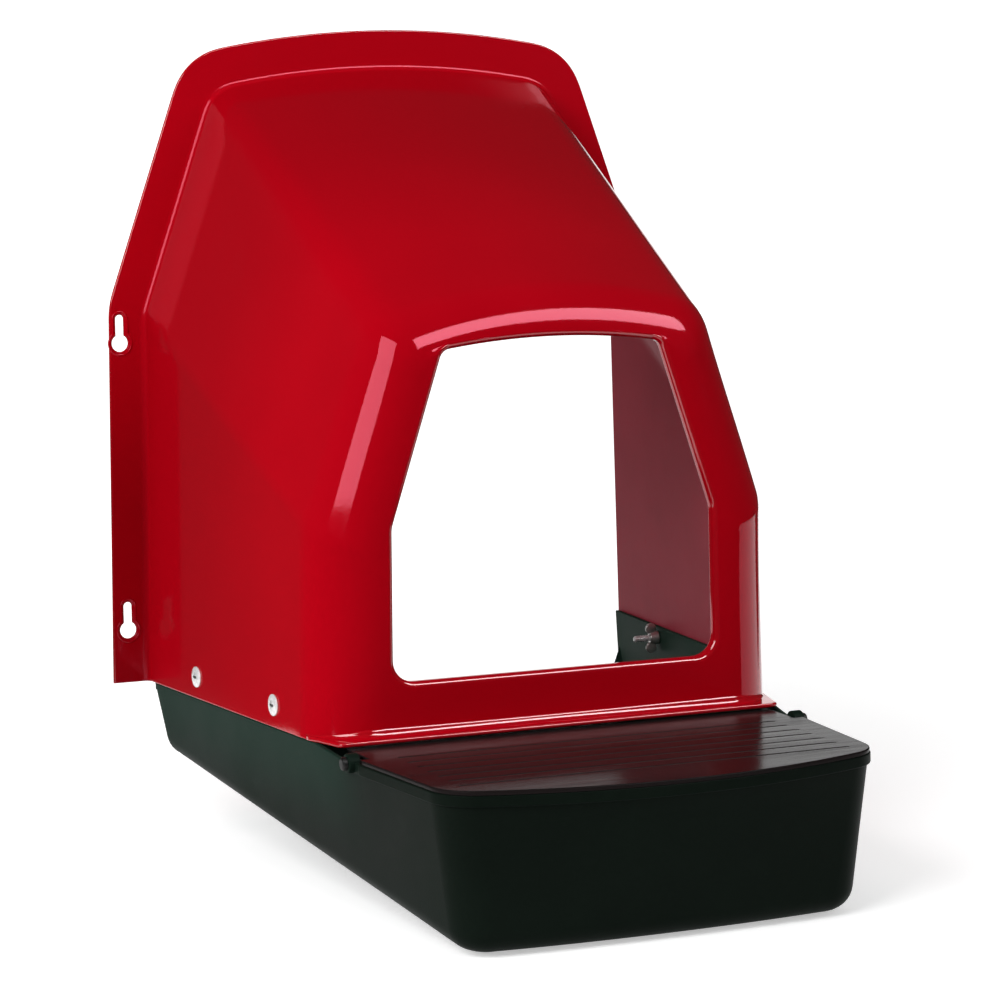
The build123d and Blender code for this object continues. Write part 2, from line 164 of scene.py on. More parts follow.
class NestBoxHood(bpy.types.PropertyGroup):
    """Sizes of the hood, heights above the ground and depths before the wall plane."""

    depth: length("Depth", 0.250, "Front face")
    rear_bend: length("Rear bend", 0.310, "Height of the side bend at the wall")
    rear_slope: number("Rear slope", 0.35, "Set-in above the rear bend")
    rear_crown: length("Rear crown", 0.450, "Height of the roof at the wall")
    rear_arc: length("Rear arc", 0.536, "Crown radius at the wall")
    rear_corner: length("Rear corner", 0.028, "Crown corner radius at the wall")
    front_bend: length("Front bend", 0.195, "Height of the side bend at the front")
    front_slope: number("Front slope", 0.33, "Set-in above the front bend")
    front_crown: length("Front crown", 0.323, "Height of the roof at the front")
    front_arc: length("Front arc", 0.290, "Crown radius at the front")
    front_corner: length("Front corner", 0.041, "Crown corner radius at the front")
    bend_radius: length("Bend radius", 0.046, "Radius along the side bends")
    nose_radius: length("Nose radius", 0.036, "Rounding from the front face into sides and roof")
    nose_clear: length("Nose clearance", 0.0008, "Nose outside the entrance's edge")
    nose_even: length("Nose evening", 0.020, "Length along which the nose's reach is evened")
    flange: length("Flange", 0.02157, "Width of the wall flange outside the hood")
    root_radius: length("Root radius", 0.0042, "Fillet between hood and flange")
    edge_radius: length("Edge radius", 0.0008, "Rounding of the free edges")
    key_out: length("Keyhole half span", 0.1675, "Keyhole centres from the middle plane")
    key_rise: length("Keyhole half rise", 0.085, "Entry circles above and below the frame's origin")
    key_radius: length("Keyhole radius", 0.005, "Radius of the entry circles")
    slot_radius: length("Slot radius", 0.0025, "Radius of the keyhole slots")
    slot_rise: length("Slot rise", 0.0142, "Slot end above the entry circle")
    bead: length("Keyhole bead", 0.0007, "Radius of the bead round the keyholes")
    bead_gap: length("Keyhole bead gap", 0.0019, "Bead outside the keyhole's edge")
    door_low: length("Threshold", 0.1212, "Height of the entrance's threshold")
    door_low_half: length("Threshold half width", 0.0961, "Half width of the entrance at the threshold")
    door_bend: length("Entrance bend", 0.205, "Height of the entrance's side bends")
    door_half: length("Entrance half width", 0.0951, "Half width of the entrance at its bends")
    door_crown: length("Entrance crown", 0.3036, "Height of the entrance")
    door_arc: length("Entrance arc", 0.417, "Crown radius of the entrance")
    door_foot_radius: length("Threshold corner", 0.012, "Lower corner radius of the entrance")
    door_bend_radius: length("Entrance bend radius", 0.020, "Radius at the entrance's side bends")
    door_corner_radius: length("Entrance corner", 0.008, "Upper corner radius of the entrance")
    door_rim: length("Entrance rim", 0.0035, "Depth of the rolled rim behind the wall")
    door_roll: length("Entrance roll", 0.0030, "Rounding of the entrance's edge")
    lip_reach: length("Lip reach", 0.0075, "Lip before the front face")
    lip_half: length("Lip half width", 0.13105, "Half width of the lip at its front corners")
    lip_run: length("Lip run", 0.024, "Where the lip runs out behind the front face")
    lip_thick: length("Lip thickness", 0.0024, "Thickness of the lip")
    lip_corner: length("Lip corner", 0.004, "Corner radius of the lip")
    lip_root: length("Lip root", 0.0045, "Fillet between lip and front face")
    lip_lift: length("Lip lift", 0.0001, "Lip's underside above the sill")
    lip_wane: length("Lip wane", 0.112, "Half width at which the lip's fillet starts to shrink")
    lip_waned: length("Lip waned", 0.13, "Half width at which the lip's fillet is smallest")


class NestBoxTray(bpy.types.PropertyGroup):
    """Sizes of tray and lid, heights above the ground and depths before the wall plane."""

    rear: length("Rear edge", 0.0006, "Rear edge of the tray")
    front: length("Front edge", 0.4118, "Front of rim and lid")
    bow: length("Front arc", 0.303, "Radius of the bowed front in plan")
    corner: length("Front corner", 0.0265, "Radius of the front corners of rim and lid in plan")
    body_corner: length("Body corner", 0.0275, "Radius of the front corners below the rim in plan")
    rear_corner: length("Rear corner", 0.0118, "Radius of the rear corners in plan")
    shoulder: length("Shoulder", 0.09015, "Top of the side walls under the hood")
    rim: length("Rim", 0.08695, "Top of the rim under the lid")
    ramp_rear: length("Ramp rear", 0.236, "Where the shoulder starts to fall to the rim")
    ramp_front: length("Ramp front", 0.262, "Where the shoulder has fallen to the rim")
    follow_rear: length("Rear follow", 0.02, "Length over which the sides join the hood's line")
    follow_front: length("Front follow", 0.08, "Length over which the sides leave the hood's line")
    back_rim: length("Back rim", 0.068, "Top of the back wall")
    back_rise: length("Back rise", 0.0022, "Width over which the back wall rises to the sides")
    back_turn: length("Back turn", 0.0024, "Depth over which the back wall rises to the sides")
    edge: length("Rim edge", 0.0007, "Rounding of the rim's edges")
    skirt: length("Skirt", 0.006, "Height of the overhanging rim")
    skirt_over: length("Skirt overhang", 0.001, "How far the rim stands before the front wall")
    skirt_run: length("Skirt run", 0.127, "Length of the overhanging rim along the sides")
    skirt_grow: length("Skirt growth", 0.002, "Length over which the overhang starts")
    skirt_clear: length("Skirt clearance", 0.001, "Least height of the skirt above the foot's rounding")
    foot_rear: length("Foot rear", 0.0011, "Rear edge of the underside")
    foot_front: length("Foot front", 0.3868, "Front edge of the underside")
    foot_bow: length("Foot arc", 6.0, "Radius of the underside's front edge in plan")
    foot_rear_in: length("Foot rear set-in", 0.0072, "Set-in of the underside's rear corners")
    foot_front_in: length("Foot front set-in", 0.0135, "Set-in of the underside's front corners")
    foot_corner: length("Foot rear corner", 0.0155, "Radius of the underside's rear corners in plan")
    foot_front_corner: length("Foot front corner", 0.0206, "Radius of the underside's front corners in plan")
    foot_radius: length("Foot radius", 0.014, "Rounding between underside and walls")
    rear_low: length("Rear height", 0.0481, "Height of the underside at the wall plane")
    panel: length("Panel front", 0.205, "Front edge of the side panels")
    panel_low: length("Panel foot", 0.0757, "Lower edge of the side panels")
    panel_top: length("Panel top", 0.1095, "Upper edge of the side panels")
    panel_in: length("Panel set-in", 0.0053, "Set-in of the panels' inner faces from the hood's sides")
    panel_edge: length("Panel edge", 0.0005, "Rounding of the panels' edges")
    ledge: length("Ledge", 0.005, "Foot of the ledges below the shoulder")
    ledge_drop: length("Ledge drop", 0.0004, "Top of the ledges below the shoulder")
    ledge_out: length("Ledge set-in", 0.0022, "Set-in of the ledges' outer faces from the hood's sides")
    ledge_in: length("Ledge inside", 0.0048, "Set-in of the ledges' inner faces from the hood's sides")
    hinge_depth: length("Hinge depth", 0.277, "Depth of the hinge's axis")
    hinge_height: length("Hinge height", 0.086, "Height of the hinge's axis")
    ear_out: length("Ear", 0.1351, "Outer face of the hinge ears")
    ear_thick: length("Ear thickness", 0.0064, "Thickness of the hinge ears")
    ear_radius: length("Ear radius", 0.0053, "Radius of the hinge ears")
    lid_top: length("Lid top", 0.0894, "Upper face of the lid")
    lid_thick: length("Lid thickness", 0.0024, "Thickness of the lid")
    lid_edge: length("Lid edge", 0.0008, "Rounding of the lid's upper edge")
    lid_rear: length("Lid rear", 0.2526, "Rear edge of the lid")
    lid_neck: length("Lid neck", 0.126, "Half width of the lid between the ears")
    lid_step: length("Lid step", 0.287, "Depth at which the lid widens")
    lid_gap: length("Lid gap", 0.0006, "Set-in of the lid's sides from the rim")
    knuckle_radius: length("Knuckle radius", 0.0033, "Radius of the lid's knuckles")
    knuckle: length("Knuckle", 0.016, "Length of the lid's knuckles")
    groove_start: length("First groove", 0.0043, "First groove behind the lid's step")
    groove_pitch: length("Groove pitch", 0.014, "Distance of the grooves")
    groove_end: length("Groove end", 0.0126, "Smooth margin at the grooves' ends")
    groove_fade: length("Groove fade", 0.001, "Half the length over which a groove ends")
    groove_width: length("Groove width", 0.0014, "Width of a groove")
    groove_deep: length("Groove depth", 0.0006, "Depth of a groove")


class NestBoxFasteners(bpy.types.PropertyGroup):
    """Sizes of the screws and wing nuts."""

    rear: length("Rear depth", 0.075, "Depth of the rear screws")
    front: length("Front depth", 0.183, "Depth of the front screws")
    rise: length("Rise", 0.0128, "Height of the screws above the sill")
    head: length("Head radius", 0.0060, "Radius of the screw heads")
    rim: length("Head rim", 0.0008, "Height of the screw heads at the rim")
    under: length("Head underside", 0.0002, "Chamfer under the screw heads")
    dome: length("Head dome", 0.0014, "Further rise of the screw heads to the middle")
    arm: length("Recess arm", 0.0031, "Length of the cross recess from the middle")
    arm_end: length("Recess end", 0.0005, "Length of the slopes at the ends of the cross recess")
    slot: length("Recess width", 0.0007, "Half width of the cross recess")
    flank: length("Recess flank", 0.0003, "Width of the slopes beside the cross recess")
    deep: length("Recess depth", 0.0017, "Depth of the cross recess")
    shank: length("Shank radius", 0.0018, "Mean radius of the thread")
    thread: length("Thread", 0.0002, "Height of the thread's waves")
    pitch: length("Pitch", 0.0011, "Pitch of the thread")
    run: length("Screw length", 0.0208, "Length of the screws under the head")
    tip: length("Screw tip", 0.0006, "Chamfer at the end of the thread")
    nut: length("Nut radius", 0.0042, "Radius of the wing nuts at the panel")
    nut_top: length("Nut top radius", 0.0033, "Radius of the wing nuts at their free end")
    nut_run: length("Nut height", 0.0056, "Height of the wing nuts")
    nut_edge: length("Nut edge", 0.0008, "Rounding of the wing nuts' free end")
    nut_base: length("Nut base", 0.0006, "Height of the chamfer at the panel")
    wing_rise: length("Wing rise", 0.0045, "Distance of the wings' middles from the panel")
    wing_out: length("Wing distance", 0.0058, "Distance of the wings' middles from the axis")
    wing: FloatVectorProperty(
        name="Wing", description="Half sizes of a wing along the axis, across and out", size=3,
        default=(0.0034, 0.0011, 0.0034), subtype="XYZ", unit="LENGTH",
    )


class NestBoxFinish(bpy.types.PropertyGroup):
    """Colours of the finishes."""

    hood: colour("Hood red", (0.437, 0.0006, 0.0066), "Gloss red of the hood")
    inside: colour("Inside red", (0.36, 0.040, 0.060), "Dull red of the hood's inside")
    tray: colour("Tray green", (0.0048, 0.0085, 0.0060), "Green-black of the tray")
    # painted light: this paler green stands for light falling on the tray's upper rear sides
    tray_lit: colour("Lit green", (0.012, 0.034, 0.024), "Paler green of the tray's sides at the rear")
    lid: colour("Lid black", (0.012, 0.009, 0.009), "Gloss black of the lid")
    pin: colour("Pin black", (0.008, 0.008, 0.008), "Black of the hinge pins")
    zinc: colour("Zinc", (0.90, 0.90, 0.90), "Bright zinc of the screws")
    nut: colour("Nut grey", (0.62, 0.60, 0.58), "Dull zinc of the wing nuts")


class NestBoxStage(bpy.types.PropertyGroup):
    """Paper sweep, camera and lamps."""

    lens: FloatProperty(name="Lens", description="Focal length in millimetres", default=129.863)
    eye: FloatVectorProperty(
        name="Eye", description="Camera place", default=(-0.791825, -2.029561, 0.245354), subtype="TRANSLATION"
    )
    yaw: FloatProperty(name="Yaw", description="Camera heading", default=radians(-23.0958), subtype="ANGLE")
    pitch: FloatProperty(name="Pitch", description="Camera tilt down", default=radians(6.9329), subtype="ANGLE")
    roll: FloatProperty(name="Roll", description="Camera roll", default=radians(-0.9648), subtype="ANGLE")
    aim: FloatVectorProperty(
        name="Aim", description="Point that the lamps face", default=(0.0, -0.2, 0.05), subtype="TRANSLATION"
    )
    sweep_near: length("Sweep front", 0.5, "Half width and reach of the paper before the part")
    sweep_far: length("Sweep back", 2.6, "Where the paper starts to rise behind the part")
    sweep_half: length("Sweep half width", 0.9, "Half width of the paper behind the part")
    sweep_radius: length("Sweep radius", 0.5, "Radius of the paper's bend")
    sweep_top: length("Sweep top", 0.9, "Height of the paper behind the part")
    paper: colour("Paper", (0.92, 0.92, 0.92), "Colour of the paper sweep")
    sky_low: colour("Low sky", (0.035, 0.035, 0.035), "World colour at the horizon")
    sky_high: colour("High sky", (0.03, 0.03, 0.03), "World colour overhead")


# Meshes


def seat(xz, depth):
    """Points of an outline at some depth before the wall plane, heights taken from the ground."""
    xz, depth = np.broadcast_arrays(xz, np.asarray(depth)[..., None])
    return np.stack([xz[..., 0], -depth[..., 0], xz[..., 1] + GROUND], -1)


def grid_faces(rows, columns, start=0, wrap_rows=False, wrap_columns=False):
    """Quads of a grid of points stored row by row."""
    r = np.arange(rows if wrap_rows else rows - 1)
    c = np.arange(columns if wrap_columns else columns - 1)
    r, c = (a.ravel() for a in np.meshgrid(r, c, indexing="ij"))
    r2, c2 = (r + 1) % rows, (c + 1) % columns
    return np.stack([r * columns + c, r * columns + c2, r2 * columns + c2, r2 * columns + c], -1) + start


class Skin:
    """Collects grids of points, and joins them into one closed mesh."""

    def __init__(self):
        self.points, self.faces, self.coats, self.count = [], [], [], 0

    def grid(self, points, wrap_rows=False, wrap_columns=False, coat=0):
        rows, columns = points.shape[:2]
        faces = grid_faces(rows, columns, self.count, wrap_rows, wrap_columns)
        self.points.append(points.reshape(-1, 3))
        self.faces.append(faces)
        self.coats.append(np.broadcast_to(coat, len(faces)))
        self.count += rows * columns

    def tube(self, points, coat=0):
        self.grid(points, wrap_columns=True, coat=coat)

    def mesh(self, name):
        mesh = bpy.data.meshes.new(name)
        mesh.from_pydata(np.concatenate(self.points).tolist(), [], np.concatenate(self.faces).tolist())
        mesh.polygons.foreach_set("material_index", np.concatenate(self.coats))
        bm = bmesh.new()
        bm.from_mesh(mesh)
        bmesh.ops.remove_doubles(bm, verts=bm.verts, dist=MERGE)
        bmesh.ops.dissolve_degenerate(bm, edges=bm.edges, dist=MERGE)
        bmesh.ops.holes_fill(bm, edges=[edge for edge in bm.edges if edge.is_boundary])
        bmesh.ops.recalc_face_normals(bm, faces=bm.faces)
        bm.to_mesh(mesh)
        bm.free()
        mesh.shade_smooth()
        return mesh


def add_piece(name, mesh, body, coats, stands_for=()):
    """Puts a finished mesh into the scene as a piece that rides on a body."""
    piece = bpy.data.objects.new(name, mesh)
    bpy.context.scene.collection.objects.link(piece)
    index = np.zeros(len(mesh.polygons), dtype=np.int32)
    mesh.polygons.foreach_get("material_index", index)
    mesh.materials.clear()
    for material in coats:
        mesh.materials.append(material)
    mesh.polygons.foreach_set("material_index", np.minimum(index, len(coats) - 1))
    even = piece.modifiers.new("even normals", "WEIGHTED_NORMAL")
    even.weight = 50
    even.keep_sharp = True
    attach(piece, body)
    if stands_for:
        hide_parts(*stands_for)


def cut(mesh, cutters):
    """Takes closed cutter meshes away from a closed mesh."""
    scene = bpy.context.scene
    base = bpy.data.objects.new("cut base", mesh)
    tool = bpy.data.objects.new("cut tool", cutters)
    for item in (base, tool):
        scene.collection.objects.link(item)
    take = base.modifiers.new("take", "BOOLEAN")
    take.operation = "DIFFERENCE"
    take.solver = "EXACT"
    take.object = tool
    graph = bpy.context.evaluated_depsgraph_get()
    result = bpy.data.meshes.new_from_object(base.evaluated_get(graph))
    for item in (base, tool):
        bpy.data.objects.remove(item)
    result.shade_smooth()
    return result


# Outlines


def sweep_angles(start, end, count):
    """Unit vectors from one angle to another."""
    angle = np.linspace(start, end, count)
    return np.stack([np.cos(angle), np.sin(angle)], -1)


def circle(count):
    """Unit vectors all round."""
    return sweep_angles(0.0, 2 * pi, count + 1)[:-1]


def quarter(count):
    """Sine, and one minus cosine, along a quarter turn."""
    turn = np.linspace(0, pi / 2, count)
    return np.sin(turn), 1 - np.cos(turn)


def line_points(start, end, count):
    """Evenly spaced points from start to end."""
    start, end = np.asarray(start), np.asarray(end)
    return start + np.linspace(0, 1, count)[:, None] * (end - start)


def eased_turn(start, end, first, last, count):
    """Points and normals of a turn between two normal angles: its curvature grows from nothing over the first
    quarter, stays, and fades over the last. The points are the running sum of the tangents, scaled to reach the
    end."""
    t = np.linspace(0, 1, TURN_STEPS + 1)
    bend = np.cumsum(np.clip(np.minimum(t, 1 - t) / TURN_EASE, 0, 1))
    angle = first + (last - first) * (bend - bend[0]) / (bend[-1] - bend[0])
    tangent = np.stack([np.sin(angle), -np.cos(angle)], -1)
    run = np.concatenate([np.zeros((1, 2)), np.cumsum(tangent[1:] + tangent[:-1], 0)])
    points = start + run * hypot(*(end - start)) / hypot(*run[-1])
    pick = np.linspace(0, TURN_STEPS, count).astype(int)
    return points[pick], np.stack([np.cos(angle), np.sin(angle)], -1)[pick]


def arch(low_half, low, half, bend, slope, crown, arc, bend_r, corner_r, foot_r=0.0):
    """Outline of an arched opening from its left foot over the crown to its right foot, with outward normals.

    Each side rises to a bend, leans in by the slope, and is rounded into a crown that is an arc of a circle.
    With a foot radius, the points that close the outline below, from right to left, are returned as well.
    """
    q, c = slope / (2 * arc), half - slope * (crown - bend)
    top_half = (1 - sqrt(1 - 4 * q * c)) / (2 * q)
    sag = top_half**2 / (2 * arc)
    radius = (top_half**2 + sag**2) / (2 * sag)
    centre = np.array([0, crown - radius])
    top, knee, foot = (np.array(a) for a in ((top_half, crown - sag), (half, bend), (low_half, low)))
    along = [(knee - top) / hypot(*(knee - top)), (foot - knee) / hypot(*(foot - knee))]
    out = [np.array([-a[1], a[0]]) for a in along]
    turn = [atan2(n[1], n[0]) for n in out]
    inner = top - corner_r * out[0]
    b = (inner - centre) @ along[0]
    k = -b - sqrt(b * b - (inner - centre) @ (inner - centre) + (radius - corner_r) ** 2)
    corner = inner + k * along[0]
    start = atan2(*(corner - centre)[::-1])
    bisect = (out[0] + out[1]) / hypot(*(out[0] + out[1]))
    knee_centre = knee - bend_r * bisect / (bisect @ out[0])
    crown_n = sweep_angles(pi / 2, start, ARCH_POINTS["crown"])
    crown_p = centre + radius * crown_n
    corner_p, corner_n = eased_turn(
        crown_p[-1], corner + corner_r * out[0], start, turn[0], ARCH_POINTS["corner"]
    )
    knee_p, knee_n = eased_turn(
        knee_centre + bend_r * out[0], knee_centre + bend_r * out[1], *turn, ARCH_POINTS["bend"]
    )
    slope_p = line_points(corner_p[-1], knee_p[0], ARCH_POINTS["slope"])
    if foot_r:
        foot_turn = turn[1] + pi / 2
        foot = foot - foot_r * tan(foot_turn / 2) * along[1]
    low_p = line_points(knee_p[-1], foot, ARCH_POINTS["low"])
    slope_n, low_n = (np.broadcast_to(n, p.shape) for n, p in zip(out, (slope_p, low_p)))
    points = np.concatenate([crown_p, corner_p[1:], slope_p[1:], knee_p[1:], low_p[1:]])
    normals = np.concatenate([crown_n, corner_n[1:], slope_n[1:], knee_n[1:], low_n[1:]])
    flip = np.array([-1, 1])
    points, normals = (np.concatenate([(a * flip)[:0:-1], a]) for a in (points, normals))
    if not foot_r:
        return points, normals
    foot_n = sweep_angles(turn[1], -pi / 2, ARCH_POINTS["foot"])
    foot_p = foot - foot_r * out[1] + foot_r * foot_n
    floor_p = line_points(foot_p[-1], foot_p[-1] * flip, ARCH_POINTS["floor"])[1:-1]
    floor_n = np.tile([0.0, -1.0], (len(floor_p), 1))
    close_p = np.concatenate([foot_p[1:], floor_p, (foot_p * flip)[:0:-1]])
    close_n = np.concatenate([foot_n[1:], floor_n, (foot_n * flip)[:0:-1]])
    return np.concatenate([points, close_p]), np.concatenate([normals, close_n])


def side_half(plan, depth, height):
    """Half width of the shared plan at some depth and height."""
    return plan.half - plan.taper * depth - plan.splay * (height - plan.sill)


def sill_half(plan, depth):
    """Half width of the shared plan at some depth, at the sill."""
    return side_half(plan, depth, plan.sill)


def hood_section(plan, hood, depth, inset, low, at_front):
    """Outline of the hood's wall, set in by some thickness, at the wall plane or at the front face."""
    end = "front" if at_front else "rear"
    bend, slope, crown, arc, corner = (
        getattr(hood, f"{end}_{size}") for size in ("bend", "slope", "crown", "arc", "corner")
    )
    return arch(
        side_half(plan, depth, low) - inset, low, side_half(plan, depth, bend) - inset, bend, slope,
        crown - inset, arc - inset, hood.bend_radius - inset, corner - inset,
    )


def plan_loop(rear, rear_half, front, corner_half, bow, rear_r, front_r):
    """Closed outline in plan with outward normals, right half first: a straight rear edge, rounded rear corners,
    straight sides, front corners whose circles touch the side and the bow, and the bow."""
    back = np.array([0.0, -1.0])
    low = np.array([rear_half, rear])
    high = np.array([corner_half, front - bow + sqrt(bow**2 - corner_half**2)])
    along = (high - low) / hypot(*(high - low))
    out = np.array([along[1], -along[0]])
    rear_mid = low - rear_r * (out + back) / ((out + back) @ out)
    bow_mid = np.array([0.0, front - bow])
    arm = high - front_r * out - bow_mid
    reach = arm @ along
    front_mid = bow_mid + arm + along * (sqrt(reach**2 - arm @ arm + (bow - front_r) ** 2) - reach)
    side_angle, bow_angle = atan2(out[1], out[0]), atan2(*(front_mid - bow_mid)[::-1])
    rear_n = sweep_angles(-pi / 2, side_angle, PLAN_POINTS["rear_corner"])
    front_n = sweep_angles(side_angle, bow_angle, PLAN_POINTS["front_corner"])
    bow_n = sweep_angles(bow_angle, pi / 2, PLAN_POINTS["bow"])
    first, last = rear_mid + rear_r * out, front_mid + front_r * out
    share = np.sort(np.concatenate([np.linspace(0, 1, PLAN_POINTS["side"]), SIDE_MARKS]))
    edge = line_points((0.0, rear), rear_mid + rear_r * rear_n[0], PLAN_POINTS["rear"])
    side = first + share[:, None] * (last - first)
    edge_n, side_n = np.broadcast_to(back, edge.shape), np.broadcast_to(out, side.shape)
    points = [edge, rear_mid + rear_r * rear_n, side, front_mid + front_r * front_n]
    points = np.concatenate([*(a[:-1] for a in points), bow_mid + bow * bow_n])
    normals = np.concatenate([*(a[:-1] for a in (edge_n, rear_n, side_n, front_n)), bow_n])
    return tuple(np.concatenate([a, (a * (-1.0, 1.0))[-2:0:-1]]) for a in (points, normals))


def placed(points):
    """Points given as width, depth and height, in the scene's axes."""
    return points * (1.0, -1.0, 1.0) + (0.0, 0.0, GROUND)


def turned(along, radius, ring):
    """Round skin about an axis: distance along the axis and radius of each row, as along, across and out."""
    points = np.zeros((len(along), len(ring), 3))
    points[..., 0] = np.asarray(along)[:, None]
    points[..., 1:] = np.asarray(radius)[:, None, None] * ring
    return points


def rod(ends, depth, height, radius, edge):
    """Closed round bar across the box with rounded ends."""
    first, last = sorted(ends)
    ease = ROD_EASE * edge
    along = [first, first, first + ease, first + edge, last - edge, last - ease, last, last]
    inset = [radius, edge, ease, 0.0, 0.0, ease, edge, radius]
    return placed(turned(along, radius - np.array(inset), circle(36)) + (0.0, depth, height))


# Hood


def steps(count):
    """Parameter from 0 to 1 as a row."""
    return np.linspace(0, 1, count)[None, :]


def evened(values, path, spread):
    """Values along a path of points, averaged with a bell curve over the length along the path. Both ends are
    carried on by a point reflection, so that they stay as they are."""
    run = np.concatenate([[0], np.cumsum(np.hypot(*np.diff(path, axis=0).T))])
    far, many = (np.concatenate([2 * a[0] - a[:0:-1], a, 2 * a[-1] - a[-2::-1]]) for a in (run, values))
    bell = np.exp(-0.5 * ((run[:, None] - far) / spread) ** 2) * np.gradient(far)
    return bell @ many / bell.sum(1)


def entrance(hood):
    """Outline of the entrance with outward normals."""
    return arch(
        hood.door_low_half, hood.door_low, hood.door_half, hood.door_bend, hood.front_slope, hood.door_crown,
        hood.door_arc, hood.door_bend_radius, hood.door_corner_radius, hood.door_foot_radius,
    )


def leaning(rise, normals):
    """Directions along an outline, and how far its ruled wall moves along the normals and along them per depth."""
    across = np.stack([normals[:, 1], -normals[:, 0]], -1)
    return across, (rise * normals).sum(1), (rise * across).sum(1)


def hood_wall(plan, hood, inset, low):
    """Wall surface of the hood, outer or inner, from the front face's rounding back towards the wall plane.

    The wall is ruled between the rear and the front outline. The nose is a circle that rolls between the wall's
    straight line and the front plane: its centre lies one radius behind the plane and one radius inside the line.
    Its reach over the front face is evened along the outline, and the radius follows from it.
    Where the entrance's edge reaches into the nose, the nose starts outside that edge, and the edge sinks with it.
    """
    front_d, radius = hood.depth - inset, hood.nose_radius - inset
    rear, rear_n = hood_section(plan, hood, 0.0, inset, low, False)
    front, front_n = hood_section(plan, hood, front_d, inset, low, True)
    rise = (rear - front) / front_d
    across, draft, drift = leaning(rise, front_n)
    tilt = np.sqrt(1 + draft**2)
    radius = evened(radius * (tilt - draft), front, hood.nose_even) / (tilt - draft)
    door, door_n = (a[: len(front)] for a in entrance(hood))
    reach = plan.wall + hood.edge_radius if inset else hood.door_roll
    into = ((door + reach * door_n - front) * front_n).sum(1) / radius - draft + tilt
    sink = radius - radius * np.sqrt(1 - np.clip(into, 0, NOSE_LIMIT) ** 2)
    first = np.arcsin(np.clip(into + hood.nose_clear / radius, 0, NOSE_LIMIT))
    turn = first[:, None] + (np.arctan2(1 / tilt, draft / tilt) - first)[:, None] * steps(NOSE_ROWS)
    off = (radius * (draft - tilt))[:, None] + radius[:, None] * np.sin(turn)
    deep = front_d - radius[:, None] * (1 - np.cos(turn))
    slide = (drift[:, None] * (front_d - deep))[..., None] * across[:, None]
    nose = front[:, None] + off[..., None] * front_n[:, None] + slide
    return rear, rear_n, front, rise, nose, deep, sink


def chained(*parts):
    """Grids of points side by side, each starting where the one before ends."""
    return np.concatenate([parts[0], *(part[:, 1:] for part in parts[1:])], 1)


def hood_arch(plan, hood, low):
    """Outer and inner skin of the hood's arch, each from the front face round the nose and along the wall to the
    flange's edge, row by row from the left foot to the right foot, and how far the entrance's edge sinks."""
    wall, edge, r = plan.wall, hood.edge_radius, hood.root_radius
    rear, rear_n, front, rise, nose, deep, sink = hood_wall(plan, hood, 0.0, low)
    across, draft, drift = leaning(rise, rear_n)
    root_d = wall + r
    root_o = r * np.sqrt(1 + draft**2) - draft * root_d
    lean = np.arctan(draft)[:, None]
    turn = pi + lean + (pi / 2 - lean) * steps(ROOT_ROWS)
    off, root_deep = root_o[:, None] + r * np.cos(turn), root_d + r * np.sin(turn)
    slide = (drift[:, None] * root_deep)[..., None] * across[:, None]
    root = rear[:, None] + off[..., None] * rear_n[:, None] - slide
    run = deep[:, -1:] + (root_deep[:, :1] - deep[:, -1:]) * steps(SIDE_ROWS)
    side = front[:, None] + rise[:, None] * (hood.depth - run)[..., None]

    grow = hood.flange
    rim, rim_n = arch(
        side_half(plan, 0.0, low) + grow, low, side_half(plan, 0.0, hood.rear_bend) + grow,
        hood.rear_bend + grow * hood.rear_slope / 2, hood.rear_slope, hood.rear_crown + grow,
        hood.rear_arc + grow, hood.bend_radius + grow, hood.rear_corner + grow,
    )
    rim_in = rim - edge * rim_n
    face = root[:, -1:] + (rim_in - root[:, -1])[:, None] * steps(FLANGE_ROWS)[..., None]
    out, back = edge * np.stack(quarter(EDGE_ROWS))
    round_out = rim_in[:, None] + out[:, None] * rim_n[:, None]
    outer = chained(
        seat(nose, deep), seat(side, run), seat(root, root_deep), seat(face, wall), seat(round_out, wall - back)
    )

    rear, rear_n, front, rise, nose, deep, sink_in = hood_wall(plan, hood, wall, low)
    run = deep[:, -1:] + (edge - deep[:, -1:]) * steps(SIDE_ROWS)
    side = front[:, None] + rise[:, None] * (hood.depth - wall - run)[..., None]
    near, out = edge * np.stack(quarter(ROOT_ROWS))
    back_edge = side[:, -1:] + out[:, None] * rear_n[:, None]
    face = back_edge[:, -1:] + (rim_in - back_edge[:, -1])[:, None] * steps(FLANGE_ROWS)[..., None]
    inner = chained(
        seat(nose, deep), seat(side, run), seat(back_edge, edge - near), seat(face, 0.0), seat(round_out, back)
    )
    return outer, inner, np.stack([sink, sink_in], -1)


def add_foot(skin, outer, inner, edge):
    """Closes the gap between an outer and an inner foot line with two rounded edges and a flat strip: rows that
    sink by the edge radius while they move towards the other line."""
    across = inner - outer
    thick = np.linalg.norm(across, axis=-1, keepdims=True)
    down, aside = (a[:, None, None] for a in quarter(ROUND_ROWS))
    sink = np.array([0.0, 0.0, -1.0]) * edge * down
    shift = np.minimum(edge, FOOT_SHARE * thick) * aside * (across / thick)
    out_rows, in_rows = outer + shift + sink, inner - shift + sink
    for rows in (out_rows, in_rows, np.stack([out_rows[-1], in_rows[-1]])):
        skin.grid(rows)


